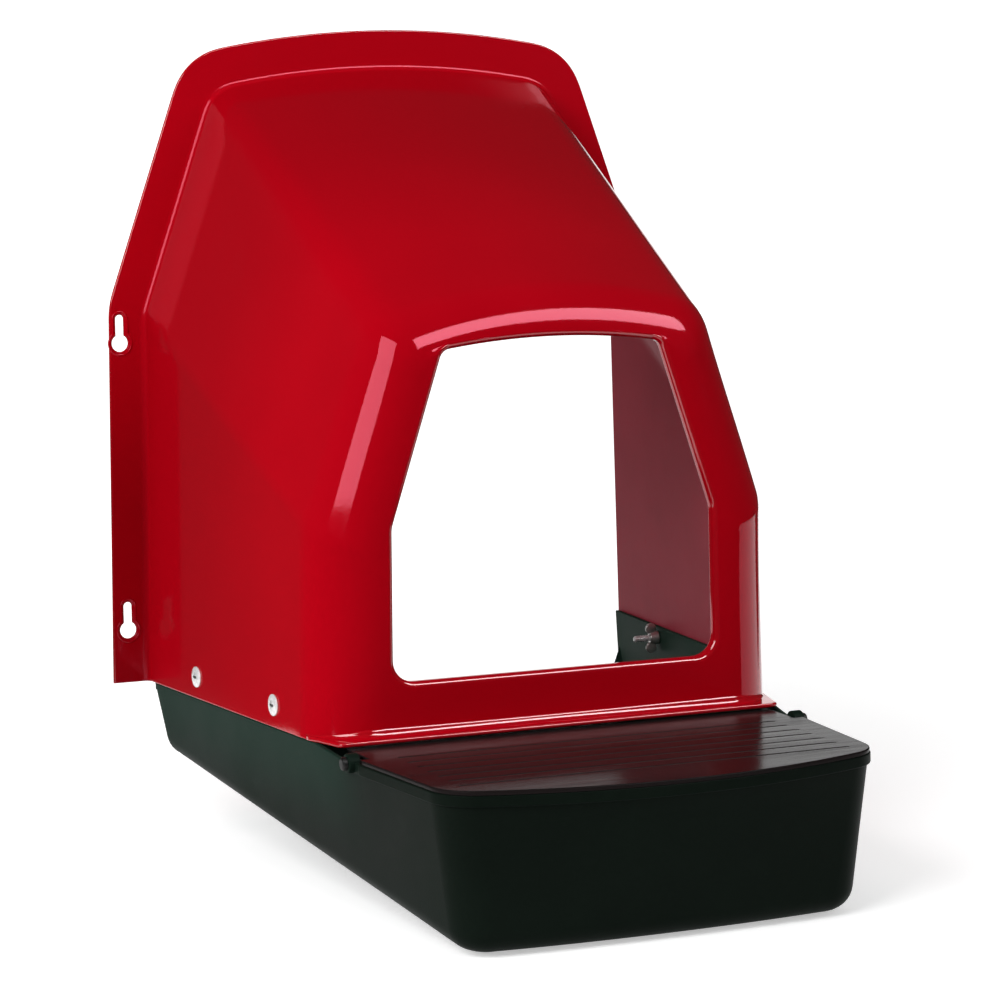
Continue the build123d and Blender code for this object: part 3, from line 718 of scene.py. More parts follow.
def hood_front(plan, hood, outer, inner, sinks):
    """Front wall as a closed ring of profiles from the nose to the entrance, over its rolled edge and back."""
    wall, edge, roll = plan.wall, hood.edge_radius, hood.door_roll
    door, door_n = entrance(hood)
    extra = len(door) - len(outer)
    share = (np.arange(1, extra + 1) / (extra + 1))[:, None]
    bound, bound_in = (
        np.concatenate([row, row[-1] + share * (row[0] - row[-1])]) for row in (outer[:, 0], inner[:, 0])
    )
    rise, fall = quarter(ROLL_ROWS)
    up, aside = edge * np.stack(quarter(ROUND_ROWS))
    rim = wall + hood.door_rim
    profile = np.concatenate([
        np.stack([roll * (1 - rise), roll * fall], -1),
        np.stack([aside, rim - edge + up], -1),
        np.stack([wall - edge + up, rim - aside], -1),
        np.stack([wall + aside, wall + edge - up], -1),
    ])
    sinks = np.concatenate([sinks, np.zeros((extra, 2))])
    inward = np.concatenate([np.zeros(len(profile) - ROUND_ROWS), np.linspace(0, 1, ROUND_ROWS)])
    sunk = profile[None, :, 1] + sinks[:, :1] + (sinks[:, 1:] - sinks[:, :1]) * inward
    ring = seat(door[:, None] + profile[None, :, :1] * door_n[:, None], hood.depth - sunk)
    fan = np.array(FACE_ROWS)[:, None]
    face = bound[:, None] + fan * (ring[:, :1] - bound[:, None])
    face_in = bound_in[:, None] + fan[::-1] * (ring[:, -1:] - bound_in[:, None])
    below = np.concatenate([np.arange(len(outer) - 1, len(door)), [0]])
    return np.concatenate([face, ring, face_in], 1), bound[below], bound_in[below]


def spread(points, count):
    """Points spaced evenly along a path in plan."""
    step = np.concatenate([[0], np.cumsum(np.hypot(*np.diff(points, axis=0).T))])
    at = np.linspace(0, step[-1], count)
    return np.stack([np.interp(at, step, points[:, i]) for i in (0, 1)], -1)


def hood_lip(plan, hood, outer):
    """Lip along the front of the hood: a strip whose profile runs from inside the wall over a small fillet and the
    lip's rounded front edge to its underside. It narrows to nothing where it meets the sides."""
    height, root_d, front = hood.lip_thick, hood.depth - hood.lip_run, hood.depth + hood.lip_reach
    left, right = outer[0], outer[-1]
    keep = -left[:, 1] > root_d
    keep[np.argmin(keep)] = True
    mid = line_points(left[0], right[0], 40)[1:-1]
    base = spread(np.concatenate([left[keep][::-1], mid, right[keep]])[:, :2], LIP_POINTS)

    corner, r = np.array([hood.lip_half, -front]), hood.lip_corner
    root = np.array([sill_half(plan, root_d), -root_d])
    along = (root - corner) / hypot(*(root - corner))
    out = np.array([-along[1], along[0]]) * (1 if -along[1] > 0 else -1)
    bisect = (out + [0, -1]) / hypot(*(out + [0, -1]))
    centre = corner - r * bisect / (bisect @ out)
    turn = centre + r * sweep_angles(-pi / 2, atan2(out[1], out[0]), 10)
    half = np.concatenate([[[0.0, -front]], turn, line_points(centre + r * out, root, 12)[1:]])
    lip = spread(np.concatenate([(half * [-1, 1])[:0:-1], half]), LIP_POINTS)

    lip[:, 1] = np.minimum(lip[:, 1], base[:, 1])
    reach = np.linalg.norm(lip - base, axis=1)[:, None]
    toward = (lip - base) / np.maximum(reach, 1e-9)
    wane = np.interp(np.abs(base[:, :1]), [hood.lip_wane, hood.lip_waned], [1.0, LIP_END])
    fillet = np.minimum(hood.lip_root, LIP_FILLET * reach) * wane
    tip = np.minimum(LIP_EDGE * hood.edge_radius, LIP_TIP * reach)
    rise, fall = quarter(EDGE_ROWS)
    inside = np.full(reach.shape, -LIP_SUNK * plan.wall)
    off = [inside, fillet * fall, reach - tip + tip * rise, reach - tip * fall, inside]
    high = [height + fillet, height + fillet * (1 - rise), height - tip * fall, tip - tip * rise, 0 * reach]
    off, high = np.concatenate(off, 1), plan.sill + hood.lip_lift + np.concatenate(high, 1)
    flat = base[:, None] + off[..., None] * toward[:, None]
    return np.concatenate([flat, (high + GROUND)[..., None]], -1)


def keyhole_outline(hood, grow):
    """Outline of a keyhole, grown by some distance: an open circle, and a half circle at the end of its slot."""
    r, s = hood.key_radius + grow, hood.slot_radius + grow
    start = atan2(sqrt(r * r - s * s), s)
    big = r * sweep_angles(pi - start, 2 * pi + start, 40)
    small = s * sweep_angles(0, pi, 20) + [0, hood.slot_rise]
    return np.concatenate([big, small])


def keyhole_places(hood):
    """Middle of each keyhole's entry circle, across and up."""
    return [(x, z) for x in (-hood.key_out, hood.key_out) for z in (-hood.key_rise, hood.key_rise)]


def keyhole_cutter(hood):
    """Closed cutters for the keyholes: the keyhole's outline, flared at both faces."""
    skin = Skin()
    for place in keyhole_places(hood):
        rows = np.stack([np.insert(keyhole_outline(hood, g) + place, 1, -d, 1) for d, g in KEY_FLARE])
        ends = [np.broadcast_to(row.mean(0), row.shape) for row in (rows[0], rows[-1])]
        skin.tube(np.concatenate([[ends[0]], rows, [ends[1]]]))
    return skin.mesh("keyhole cutter")


def keyhole_beads(hood, wall):
    """Raised beads round the keyholes: a circle carried along the keyhole's outline, half sunk in the flange."""
    skin = Skin()
    wide, high = hood.bead * circle(12).T
    for x, z in keyhole_places(hood):
        rows = np.stack([keyhole_outline(hood, hood.bead_gap + grow) for grow in wide], 1)
        deep = np.broadcast_to(-wall - BEAD_HEIGHT * high, rows.shape[:2])
        skin.grid(np.stack([rows[..., 0] + x, deep, rows[..., 1] + z], -1), True, True)
    return skin.mesh("keyhole beads")


class NESTBOX_OT_hood(bpy.types.Operator):
    """Builds the hood as one closed skin with flange, keyholes, rolled entrance and front lip"""

    bl_idname = "nestbox.hood"
    bl_label = "Hood"

    def execute(self, context):
        plan, hood, finish = settings(context, "plan", "hood", "finish")
        low = plan.sill + hood.edge_radius
        outer, inner, sinks = hood_arch(plan, hood, low)
        skin = Skin()
        gloss, dull, bright = range(3)
        inside = NOSE_ROWS + SIDE_ROWS - 1
        skin.grid(outer[:, : 1 - EDGE_ROWS], coat=gloss)
        skin.grid(np.concatenate([outer[:, -EDGE_ROWS:], inner[:, : -EDGE_ROWS - 1 : -1]], 1), coat=bright)
        skin.grid(inner[:, inside - 1 : 1 - EDGE_ROWS], coat=gloss)
        skin.grid(inner[:, :inside], coat=dull)
        for end in (0, -1):
            add_foot(skin, outer[end], inner[end], hood.edge_radius)
        front, foot, foot_in = hood_front(plan, hood, outer, inner, sinks)
        face, back = len(FACE_ROWS), len(FACE_ROWS) + 2
        skin.grid(front[:, : face + 1], wrap_rows=True, coat=gloss)
        skin.grid(front[:, face : face + ROLL_ROWS], wrap_rows=True, coat=bright)
        skin.grid(front[:, face + ROLL_ROWS - 1 : 1 - back], wrap_rows=True, coat=gloss)
        skin.grid(front[:, -back:], wrap_rows=True, coat=dull)
        add_foot(skin, foot, foot_in, hood.edge_radius)
        red = gloss_red(finish, "gloss red sheet", 0.5, (1.0, 0.28, 0.4, 1.0))
        edge = gloss_red(finish, "polished red edge", 1.0, (1.0, 0.8, 0.82, 1.0))
        coats = [red, dull_red(finish), edge]
        mesh = skin.mesh("hood shell")
        for coat in coats:
            mesh.materials.append(coat)
        add_piece("hood_shell", cut(mesh, keyhole_cutter(hood)), "box", coats, ["hood"])
        lip = Skin()
        lip.tube(hood_lip(plan, hood, outer))
        add_piece("hood_lip", lip.mesh("hood lip"), "box", [edge])
        add_piece("keyhole_beads", keyhole_beads(hood, plan.wall), "box", [red])
        return {"FINISHED"}


# Finishes


class Value:
    """A number socket that arithmetic turns into Math nodes."""

    def __init__(self, finish, socket):
        self.finish, self.socket = finish, socket

    def math(self, operation, other):
        return self.finish.node("ShaderNodeMath", {"operation": operation}, {0: self, 1: other}).out("Value")

    def __add__(self, other):
        return self.math("ADD", other)

    def __sub__(self, other):
        return self.math("SUBTRACT", other)

    def __mul__(self, other):
        return self.math("MULTIPLY", other)

    __radd__, __rmul__ = __add__, __mul__


class Made:
    """A node that hands out its sockets as values."""

    def __init__(self, finish, node):
        self.finish, self.node = finish, node

    def out(self, name):
        return Value(self.finish, self.node.outputs[name])


class Finish:
    """A node tree of a material or a world, built from one node-making method."""

    def __init__(self, owner):
        owner.use_nodes = True
        self.owner, self.tree = owner, owner.node_tree
        self.tree.nodes.clear()

    def node(self, kind, settings=None, inputs=None):
        made = self.tree.nodes.new(kind)
        for key, value in (settings or {}).items():
            setattr(made, key, value)
        for key, value in (inputs or {}).items():
            if isinstance(value, Value):
                self.tree.links.new(value.socket, made.inputs[key])
            else:
                made.inputs[key].default_value = value
        return Made(self, made)

    def place(self, scale=(1.0, 1.0, 1.0)):
        """Object coordinates, stretched by a scale on each axis."""
        point = self.node("ShaderNodeTexCoord").out("Object")
        return self.node("ShaderNodeMapping", None, {"Vector": point, "Scale": scale}).out("Vector")

    def axis(self, name):
        """One of the object coordinates."""
        return self.node("ShaderNodeSeparateXYZ", None, {"Vector": self.place()}).out(name)

    def noise(self, scale, detail, rough=0.55, stretch=(1.0, 1.0, 1.0)):
        """Noise with features of about one over scale metres."""
        return self.node(
            "ShaderNodeTexNoise", None,
            {"Vector": self.place(stretch), "Scale": scale, "Detail": detail, "Roughness": rough},
        ).out("Fac")

    def ramp(self, fac, low, high):
        """Smooth step of a value between two limits."""
        return self.node(
            "ShaderNodeMapRange", {"interpolation_type": "SMOOTHSTEP"},
            {"Value": fac, "From Min": low, "From Max": high, "To Min": 0.0, "To Max": 1.0},
        ).out("Result")

    def blend(self, fac, first, second):
        """Mix of two colours."""
        made = self.node("ShaderNodeMix", {"data_type": "RGBA"}, {0: fac, 6: first, 7: second})
        return Value(self, made.node.outputs[2])

    def patches(self, scale, detail, low, high, rough=0.55, stretch=(1.0, 1.0, 1.0)):
        """Noise, sharpened by a smooth step between two limits."""
        return self.ramp(self.noise(scale, detail, rough, stretch), low, high)

    def tones(self, fac, rgb, dark, light):
        """Mix of a darker and a lighter shade of one colour."""
        return self.blend(fac, shade(rgb, dark), shade(rgb, light))

    def bump(self, height, strength, distance, under=None):
        """Normal from a height."""
        inputs = {"Height": height, "Strength": strength, "Distance": distance}
        if under is not None:
            inputs["Normal"] = under
        return self.node("ShaderNodeBump", None, inputs).out("Normal")

    def surface(self, **inputs):
        """Principled surface, its inputs named with underscores for spaces, put on the output."""
        named = {key.replace("_", " "): value for key, value in inputs.items()}
        shader = self.node("ShaderNodeBsdfPrincipled", None, named).out("BSDF")
        self.node("ShaderNodeOutputMaterial", None, {"Surface": shader})
        return self.owner


def shade(rgb, factor):
    """A colour made lighter or darker by a factor, with alpha."""
    return tuple(min(1.0, c * factor) for c in rgb) + (1.0,)


def gloss_red(finish, name, level, tint):
    """Gloss red sheet: even colour with faint flow clouds, slow waviness from forming and fine hairline wear.
    Painted shade darkens it towards the wall, and the flange has painted shade at its foot and painted light towards
    its top."""
    f = Finish(bpy.data.materials.new(name))
    cloud = f.patches(9.0, 2.0, 0.3, 0.7)
    hair = f.patches(70.0, 4.0, 0.55, 0.8, 0.6, (1.0, 1.0, 0.08))
    # painted shade: the red darkens towards the wall plane, where less light reaches it; the same ramp also roughens
    # the sheet there
    rear = f.ramp(f.axis("Y"), *HOOD_SHADE_Y)
    base = f.blend(0.6 * rear, f.tones(cloud, finish.hood, 0.965, 1.03), shade(finish.hood, 0.74))
    # painted shade and painted light: the flange is darker at its foot and lighter towards its top
    flange = f.tones(f.ramp(f.axis("Z"), *FLANGE_SHADE_Z), finish.hood, 0.58, 1.12)
    base = f.blend(f.ramp(f.axis("Y"), *FLANGE_SHADE_Y), base, flange)
    rough = 0.05 + 0.02 * cloud + 0.04 * hair + 0.05 * rear
    wave = f.bump(f.noise(11.0, 1.0), 0.06, 0.004)
    peel = f.bump(f.noise(420.0, 2.0), 0.03, 0.0004, wave)
    return f.surface(
        Base_Color=base, Roughness=rough, Normal=peel, IOR=1.5, Specular_IOR_Level=level, Specular_Tint=tint
    )


def dull_red(finish):
    """Inside of the red sheet: the same colour, dulled by a fine even grain and a little dust."""
    f = Finish(bpy.data.materials.new("dull red inside"))
    cloud, dust = f.patches(16.0, 4.0, 0.3, 0.7), f.patches(240.0, 5.0, 0.5, 0.8, 0.7)
    base = f.blend(0.15 * dust, f.tones(cloud, finish.inside, 0.92, 1.06), shade(finish.inside, 1.5))
    grain = f.bump(f.noise(900.0, 2.0), 0.15, 0.0003)
    return f.surface(
        Base_Color=base, Roughness=0.5 + 0.1 * dust, Normal=grain, IOR=1.45, Specular_IOR_Level=0.1,
        Specular_Tint=(1.0, 0.35, 0.45, 1.0),
    )


def satin_green(tone, lit_tone, name):
    """Satin green-black moulding: fine leather grain, with slow clouds and paler rubbed patches. Painted light makes
    the upper rear paler and greener."""
    f = Finish(bpy.data.materials.new(name))
    cloud, rub = f.patches(12.0, 3.0, 0.35, 0.7), f.patches(45.0, 6.0, 0.55, 0.85, 0.65)
    base = f.blend(0.35 * rub, f.tones(cloud, tone, 0.9, 1.12), shade(tone, 1.7))
    # painted light: the upper rear of the tray's sides turns paler and greener, as if lit from behind
    lit = f.ramp(f.axis("Z"), *TRAY_LIT_Z) * f.ramp(f.axis("Y"), *TRAY_LIT_Y)
    base = f.blend(0.7 * lit, base, shade(lit_tone, 1.0))
    rough = 0.42 + 0.08 * cloud - 0.05 * rub
    grain = f.bump(f.noise(1100.0, 2.0, 0.5), 0.22, 0.0003)
    return f.surface(Base_Color=base, Roughness=rough, Normal=grain, IOR=1.45, Specular_IOR_Level=0.025)


def gloss_black(finish):
    """Gloss black plate: faint lengthwise drag marks from moulding and light dust."""
    f = Finish(bpy.data.materials.new("gloss black plate"))
    drag = f.noise(60.0, 5.0, 0.6, (0.12, 1.0, 1.0))
    dust = f.patches(900.0, 3.0, 0.62, 0.8, 0.7)
    base = f.tones(0.25 * dust, finish.lid, 1.0, 3.0)
    rough = 0.17 + 0.08 * f.ramp(drag, 0.4, 0.75) + 0.1 * dust
    wave = f.bump(drag, 0.10, 0.0012)
    return f.surface(Base_Color=base, Roughness=rough, Normal=wave, IOR=1.45, Specular_IOR_Level=0.03)


def satin_black(finish):
    """Satin black pin: fine grain and paler rubbed edges."""
    f = Finish(bpy.data.materials.new("satin black pin"))
    rub = f.patches(260.0, 4.0, 0.5, 0.75)
    base = f.tones(rub, finish.pin, 0.9, 1.8)
    grain = f.bump(f.noise(1600.0, 2.0), 0.2, 0.0002)
    return f.surface(Base_Color=base, Roughness=0.4 + 0.1 * rub, Normal=grain, IOR=1.5, Specular_IOR_Level=0.2)


def zinc(name, tone, rough, metal):
    """Zinc plate: crystal blotches in tone and roughness, and fine turning marks."""
    f = Finish(bpy.data.materials.new(name))
    blotch = f.patches(380.0, 3.0, 0.35, 0.7)
    base = f.tones(blotch, tone, 0.86, 1.08)
    marks = f.bump(f.noise(2200.0, 3.0), 0.25, 0.0002)
    return f.surface(Base_Color=base, Metallic=metal, Roughness=rough + 0.12 * blotch, Normal=marks)


# Tray and lid


def smooth(share):
    """Smooth step of a share, held between 0 and 1."""
    share = np.clip(share, 0, 1)
    return share**2 * (3 - 2 * share)


def unit(vectors):
    """Vectors of length one."""
    return vectors / np.linalg.norm(vectors, axis=-1, keepdims=True)


def rim_loop(plan, tray, inset, front, corner):
    """Outline in plan between the hood's sides and the bowed front, set in by some thickness."""
    rear = tray.rear + inset
    return plan_loop(
        rear, sill_half(plan, rear) - inset, front, sill_half(plan, front) - inset,
        tray.bow - inset, tray.rear_corner - inset, corner - inset,
    )


def trough_skin(plan, tray, inset):
    """One skin of the trough, set in by some thickness. The wall is ruled between an outline on the sloping floor
    and one at the shoulder. In the plane of rule and floor a circle that touches both rounds the foot. Gives the
    rows from the middle of the floor to the foot's upper end, the wall's points at any height, and the upper
    outline with its normals."""
    top, normals = rim_loop(plan, tray, inset, tray.front - tray.skirt_over - inset, tray.body_corner)
    low, out = plan_loop(
        tray.foot_rear + inset, sill_half(plan, tray.foot_rear) - tray.foot_rear_in - inset,
        tray.foot_front - inset, sill_half(plan, tray.foot_front) - tray.foot_front_in - inset,
        tray.foot_bow, tray.foot_corner - inset, tray.foot_front_corner - inset,
    )
    follow = np.clip((top[:, 1] - tray.rear_corner) / tray.follow_rear, 0, 1)
    follow = follow * np.clip((tray.lid_step - top[:, 1]) / tray.follow_front, 0, 1)
    flush = sill_half(plan, top[:, 1]) - inset - np.abs(top[:, 0])
    top[:, 0] += np.sign(top[:, 0]) * follow * flush
    slope = tray.rear_low / tray.foot_front
    foot = np.column_stack([low, tray.rear_low + inset - slope * low[:, 1]])
    rule = unit(np.column_stack([top, np.full(len(top), tray.shoulder)]) - foot)
    floor = unit(np.column_stack([-out, slope * out[:, 1]]))
    half = np.arccos((rule * floor).sum(1, keepdims=True)) / 2
    radius, whole = tray.foot_radius - inset, pi - 2 * half
    mid = foot + unit(rule + floor) * radius / np.sin(half)
    run = radius / np.tan(half)
    t = np.linspace(0, 1, 10)[:, None, None] * whole
    from_floor = np.sin(whole - t) * (foot + run * floor - mid)
    from_wall = np.sin(t) * (foot + run * rule - mid)
    arc = mid + (from_floor + from_wall) / np.sin(2 * half)

    def at(height):
        return foot + rule * ((height - foot[:, 2]) / rule[:, 2])[:, None]

    return np.concatenate([arc[:1] * (0.0, 1.0, 1.0), arc]), at, top, np.column_stack([normals, 0 * low[:, 0]])


def trough(plan, tray):
    """Rows of the trough from the middle of the underside over the rim to the middle of the inner floor. The rim is
    the wall's top with a skirt that grows at its start from nothing to the overhang, and the top falls to the back
    rim by a smooth step."""
    under, outer, top, normals = trough_skin(plan, tray, 0.0)
    floor, inner, _, _ = trough_skin(plan, tray, plan.wall)
    depth = top[:, 1]
    beside = (np.abs(top[:, 0]) - sill_half(plan, 0.0) + tray.panel_in) / tray.back_rise
    before = (depth - tray.rear_corner + tray.back_turn) / tray.back_turn
    height = np.interp(depth, (tray.ramp_rear, tray.ramp_front), (tray.shoulder, tray.rim))
    height = tray.back_rim + (height - tray.back_rim) * smooth(np.maximum(beside, before))
    hem, _ = rim_loop(plan, tray, 0.0, tray.front, tray.corner)
    grow = np.clip((depth - tray.front + tray.skirt_run) / tray.skirt_grow, 0, 1)[:, None]

    def skirt(drop, inset):
        wall = outer(height - drop)
        wall[:, :2] += grow * (hem - wall[:, :2])
        return wall - inset * normals

    edge, share = tray.edge, np.linspace(0, 1, 6)[1:]
    rise, fall = quarter(ROUND_ROWS)
    eased = list(zip(edge * (1 - rise), edge * fall))
    low = under[-1][:, 2]
    deep = np.minimum(tray.skirt, height - low - tray.skirt_clear)
    rows = [*under, *(outer(low + t * (height - deep - low)) for t in share)]
    rows += [skirt(deep - lift, inset * grow) for inset, lift in eased]
    rows += [skirt(drop, inset) for inset, drop in reversed(eased)]
    rows += [inner(height - drop) + inset * normals for inset, drop in eased]
    low = floor[-1][:, 2]
    rows += [inner(height - edge + t * (low - height + edge)) for t in share[:-1]]
    return placed(np.stack([*rows, *floor[::-1]]))


def panel_slab(plan, tray, sign, low, high, first, last):
    """Plate along a side of the hood: a rectangle of depths and heights between two set-ins, with its edges eased,
    kept inside the circle of the tray's rear corner."""
    ease, low, high = tray.panel_edge, np.array(low), np.array(high)
    turns = np.concatenate([sweep_angles(a, a + pi / 2, ROUND_ROWS) for a in np.arange(4) * pi / 2])
    hub = np.repeat([[1, 1], [0, 1], [0, 0], [1, 0]], ROUND_ROWS, axis=0)
    inner = low + ease + hub * (high - low - 2 * ease)
    outline, middle = inner + ease * turns, np.broadcast_to((low + high) / 2, inner.shape)
    flat = np.stack([middle, inner, outline, outline, inner, middle])
    inset = np.array([first, first, first - ease, last + ease, last, last])
    depth, height = flat[..., 0], flat[..., 1]
    wide = side_half(plan, depth, height) - inset[:, None]
    lean = tray.foot_rear_in * np.clip((tray.shoulder - height) / (tray.shoulder - tray.rear_low), 0, 1)
    reach = np.maximum(wide - sill_half(plan, tray.rear) + tray.rear_corner + lean, 0)
    arc = tray.rear + tray.rear_corner - np.sqrt(np.maximum(tray.rear_corner**2 - reach**2, 0))
    return placed(np.stack([sign * wide, np.maximum(depth, arc), height], -1))


def lid_depths(tray, front, marks):
    """Depths of the lid's rows: at the step, even over the plate, at the grooves, and closer towards the front."""
    rear, step = tray.lid_rear + tray.lid_edge, tray.lid_step + tray.lid_edge
    depth = np.concatenate([
        (rear, step - STEP_RUN, step),
        np.linspace(rear, front - EVEN_END, 24),
        (marks[:, None] + tray.groove_width * np.array(GROOVE_ROWS)).ravel(),
        front - CLOSE_RUN * np.linspace(0, 1, 40) ** 2,
    ])
    return np.unique(np.round(depth, DEPTH_DIGITS))


def lid_grids(plan, tray):
    """Upper face, rounded edge and lower face of the lid. Rows run across at fixed depths, and their half width
    falls along corner and bow; the upper face sinks by a smooth step into each groove."""
    edge, front = tray.lid_edge, tray.front - tray.lid_edge
    side = sill_half(plan, tray.front) - tray.lid_gap
    loop, _ = plan_loop(
        tray.rear, sill_half(plan, tray.rear) - tray.lid_gap - edge, front, side - edge,
        tray.bow - edge, tray.rear_corner, tray.corner - edge,
    )
    right = loop[PLAN_POINTS["rear"] - 1 : len(loop) // 2 + 1]
    marks = tray.lid_step + tray.groove_start + tray.groove_pitch * np.arange(GROOVES)
    depth = lid_depths(tray, front, marks)
    half = np.interp(depth, right[:, 1], right[:, 0])
    half = np.where(depth < tray.lid_step + edge - 5e-6, tray.lid_neck - edge, half)
    half[-1] = 0.0

    span, fade = side - tray.groove_end, tray.groove_fade
    across = [np.linspace(0, span - 1.5 * fade, 24), span + np.linspace(-fade, fade, 5), [span + 3 * fade]]
    across = np.concatenate(across)
    across = np.concatenate([-across[:0:-1], across])
    shrink = np.clip(half / (span + 6 * fade), 0, 1)[:, None]
    x = np.concatenate([-half[:, None], across * shrink, half[:, None]], 1)
    off = np.abs(depth[:, None] - marks).min(1)[:, None] / tray.groove_width
    dip = np.clip((GROOVE_ROWS[-1] - off) / GROOVE_FLANK, 0, 1)
    dip = smooth(dip * np.clip((span + fade - np.abs(x)) / (2 * fade), 0, 1))
    flat = np.broadcast_to(depth[:, None], x.shape)
    upper = np.stack([x, flat, tray.lid_top - tray.groove_deep * dip], -1)
    lower = np.stack([x, flat, np.full(x.shape, tray.lid_top - tray.lid_thick)], -1)

    around, base = (np.concatenate([a[:, -1], a[-2::-1, 0], a[0, 1:-1]]) for a in (upper, lower))
    tangent = np.roll(around, -1, 0) - np.roll(around, 1, 0)
    out = np.column_stack([tangent[:, 1], -tangent[:, 0], np.zeros(len(around))])
    out /= np.maximum(np.linalg.norm(out, axis=1, keepdims=True), 1e-12)
    up = np.array([0.0, 0.0, 1.0])
    aside, down = (edge * a[:, None, None] for a in quarter(EDGE_ROWS))
    ease = LID_EASE * edge
    foot = [base + edge * out + ease * up, base + (edge - ease) * out, base]
    rim = np.concatenate([around + aside * out - down * up, foot])
    return placed(upper), placed(rim), placed(lower)


class NESTBOX_OT_tray(bpy.types.Operator):
    """Builds the tray with its panels and hinge ears"""

    bl_idname = "nestbox.tray"
    bl_label = "Tray"

    def execute(self, context):
        plan, tray, finish = settings(context, "plan", "tray", "finish")
        coat = satin_green(finish.tray, finish.tray_lit, "satin green moulding")
        # painted light: the panels get a six times paler copy of the tray's finish, standing for light that reaches
        # them through the hood's open back
        pale = satin_green(shade(finish.tray, 6.0)[:3], finish.tray_lit, "green panel with painted light")
        NODES["tray"].data.materials[0] = coat
        skin = Skin()
        skin.tube(trough(plan, tray))
        ledge_low, ledge_high = tray.shoulder - tray.ledge, tray.shoulder - tray.ledge_drop
        hinge = (tray.hinge_depth, tray.hinge_height, tray.ear_radius, tray.edge)
        for sign in (-1, 1):
            low = tray.panel_low if sign > 0 else ledge_low
            panel = panel_slab(
                plan, tray, sign, (tray.rear, low), (tray.panel, tray.panel_top),
                tray.panel_in, tray.panel_in - plan.wall,
            )
            ledge = panel_slab(
                plan, tray, sign, (tray.rear_corner, ledge_low), (tray.panel, ledge_high),
                tray.ledge_in, tray.ledge_out,
            )
            skin.tube(panel, 1)
            skin.tube(ledge)
            ends = (sign * tray.ear_out, sign * (tray.ear_out - tray.ear_thick))
            skin.tube(rod(ends, *hinge))
        add_piece("tray_trough", skin.mesh("tray trough"), "box", [coat, pale], ["tray"])
        return {"FINISHED"}


class NESTBOX_OT_lid(bpy.types.Operator):
    """Builds the lid and finishes its hinge pins"""

    bl_idname = "nestbox.lid"
    bl_label = "Lid"

    def execute(self, context):
        plan, tray, finish = settings(context, "plan", "tray", "finish")
        coat = gloss_black(finish)
        NODES["lid"].data.materials[0] = coat
        skin = Skin()
        upper, rim, lower = lid_grids(plan, tray)
        skin.grid(upper)
        skin.tube(rim)
        skin.grid(lower)
        hinge = (tray.hinge_depth, tray.hinge_height, tray.knuckle_radius, tray.edge)
        for sign in (-1, 1):
            ends = (sign * tray.lid_neck, sign * (tray.lid_neck - tray.knuckle))
            skin.tube(rod(ends, *hinge))
        add_piece("lid_plate", skin.mesh("lid plate"), "lid", [coat], ["lid"])
        pin = satin_black(finish)
        for hand in ("left", "right"):
            NODES[f"hinge_pin_{hand}"].data.materials[0] = pin
        return {"FINISHED"}


# Fasteners


def screw_skins(sizes):
    """Screw along its axis: a shallow dome with a cross recess sunk by a product of two steps, a rim, and a shank
    whose radius waves with the thread's pitch. Gives each grid with the coats of its faces."""
    ring = circle(72)
    inner = np.linspace(0, sizes.arm + sizes.flank, 22)
    wide = np.concatenate([inner, np.linspace(sizes.arm + sizes.arm_end, sizes.head, 8)])
    head = turned(sizes.rim + sizes.dome * (1 - (wide / sizes.head) ** 2), wide, ring)
    near, far = np.sort(np.abs(head[..., 1:]), -1).transpose(2, 0, 1)
    sink = np.clip((sizes.arm - far) / sizes.arm_end, 0, 1)
    sink = sink * np.clip((sizes.slot - near) / sizes.flank + 0.5, 0, 1)
    head[..., 0] -= sizes.deep * sink
    run = np.linspace(0.0, sizes.run - sizes.tip, 76)
    wave = sizes.shank + sizes.thread * np.cos(2 * pi * run / sizes.pitch)
    along = np.concatenate([[HEAD_FOOT * sizes.rim, 0.0], -run, [-sizes.run, -sizes.run]])
    radius = np.concatenate([[sizes.head, sizes.head - sizes.under], wave, [sizes.shank - sizes.tip, 0.0]])
    sink = sink + np.roll(sink, -1, 1)
    # painted shade: faces deep in the cross recess get the dark copy of the zinc
    dark = (sink[1:] + sink[:-1] > RECESS_SHADE_SINK).ravel().astype(int)
    return [(head, dark), (np.concatenate([head[-1:], turned(along, radius, ring)]), 0)]


def nut_skins(sizes, seat):
    """Wing nut along its axis: a tapered boss with rounded ends, and two lens-shaped wings, ellipses in the plane of
    the axis whose thickness follows the root of the sine. Gives each grid with the coat of its faces."""
    ring, edge, ease = circle(40), sizes.nut_edge, sizes.nut_edge / 4
    low, high, top = -seat, -seat - sizes.nut_run, sizes.nut_top
    along = [low, low, low - sizes.nut_base, high + edge, high + ease, high, high]
    boss = turned(along, [0.0, sizes.nut - edge / 2, sizes.nut, top, top - ease, top - edge, 0.0], ring)
    tilt = np.linspace(-pi / 2, pi / 2, 25)[:, None]
    thick = np.sign(np.sin(tilt)) * np.sqrt(np.abs(np.sin(tilt)))
    lens = np.broadcast_arrays(np.cos(tilt) * ring[:, 0], thick, np.cos(tilt) * ring[:, 1])
    lens = np.stack(lens, -1) * np.array(sizes.wing)
    wings = [lens + (low - sizes.wing_rise, 0.0, side * sizes.wing_out) for side in (-1, 1)]
    return [(grid, 0) for grid in (boss, *wings)]


def on_wall(plan, sizes, sign, depth, points):
    """Points given along, across and out, put on an axis that stands square on the hood's side."""
    height = plan.sill + sizes.rise
    along, across = unit(np.array([[sign, plan.taper, plan.splay], [-sign * plan.taper, 1.0, 0.0]]))
    middle = np.array([sign * side_half(plan, depth, height), depth, height])
    return placed(middle + points @ np.stack([along, across, np.cross(along, across)]))


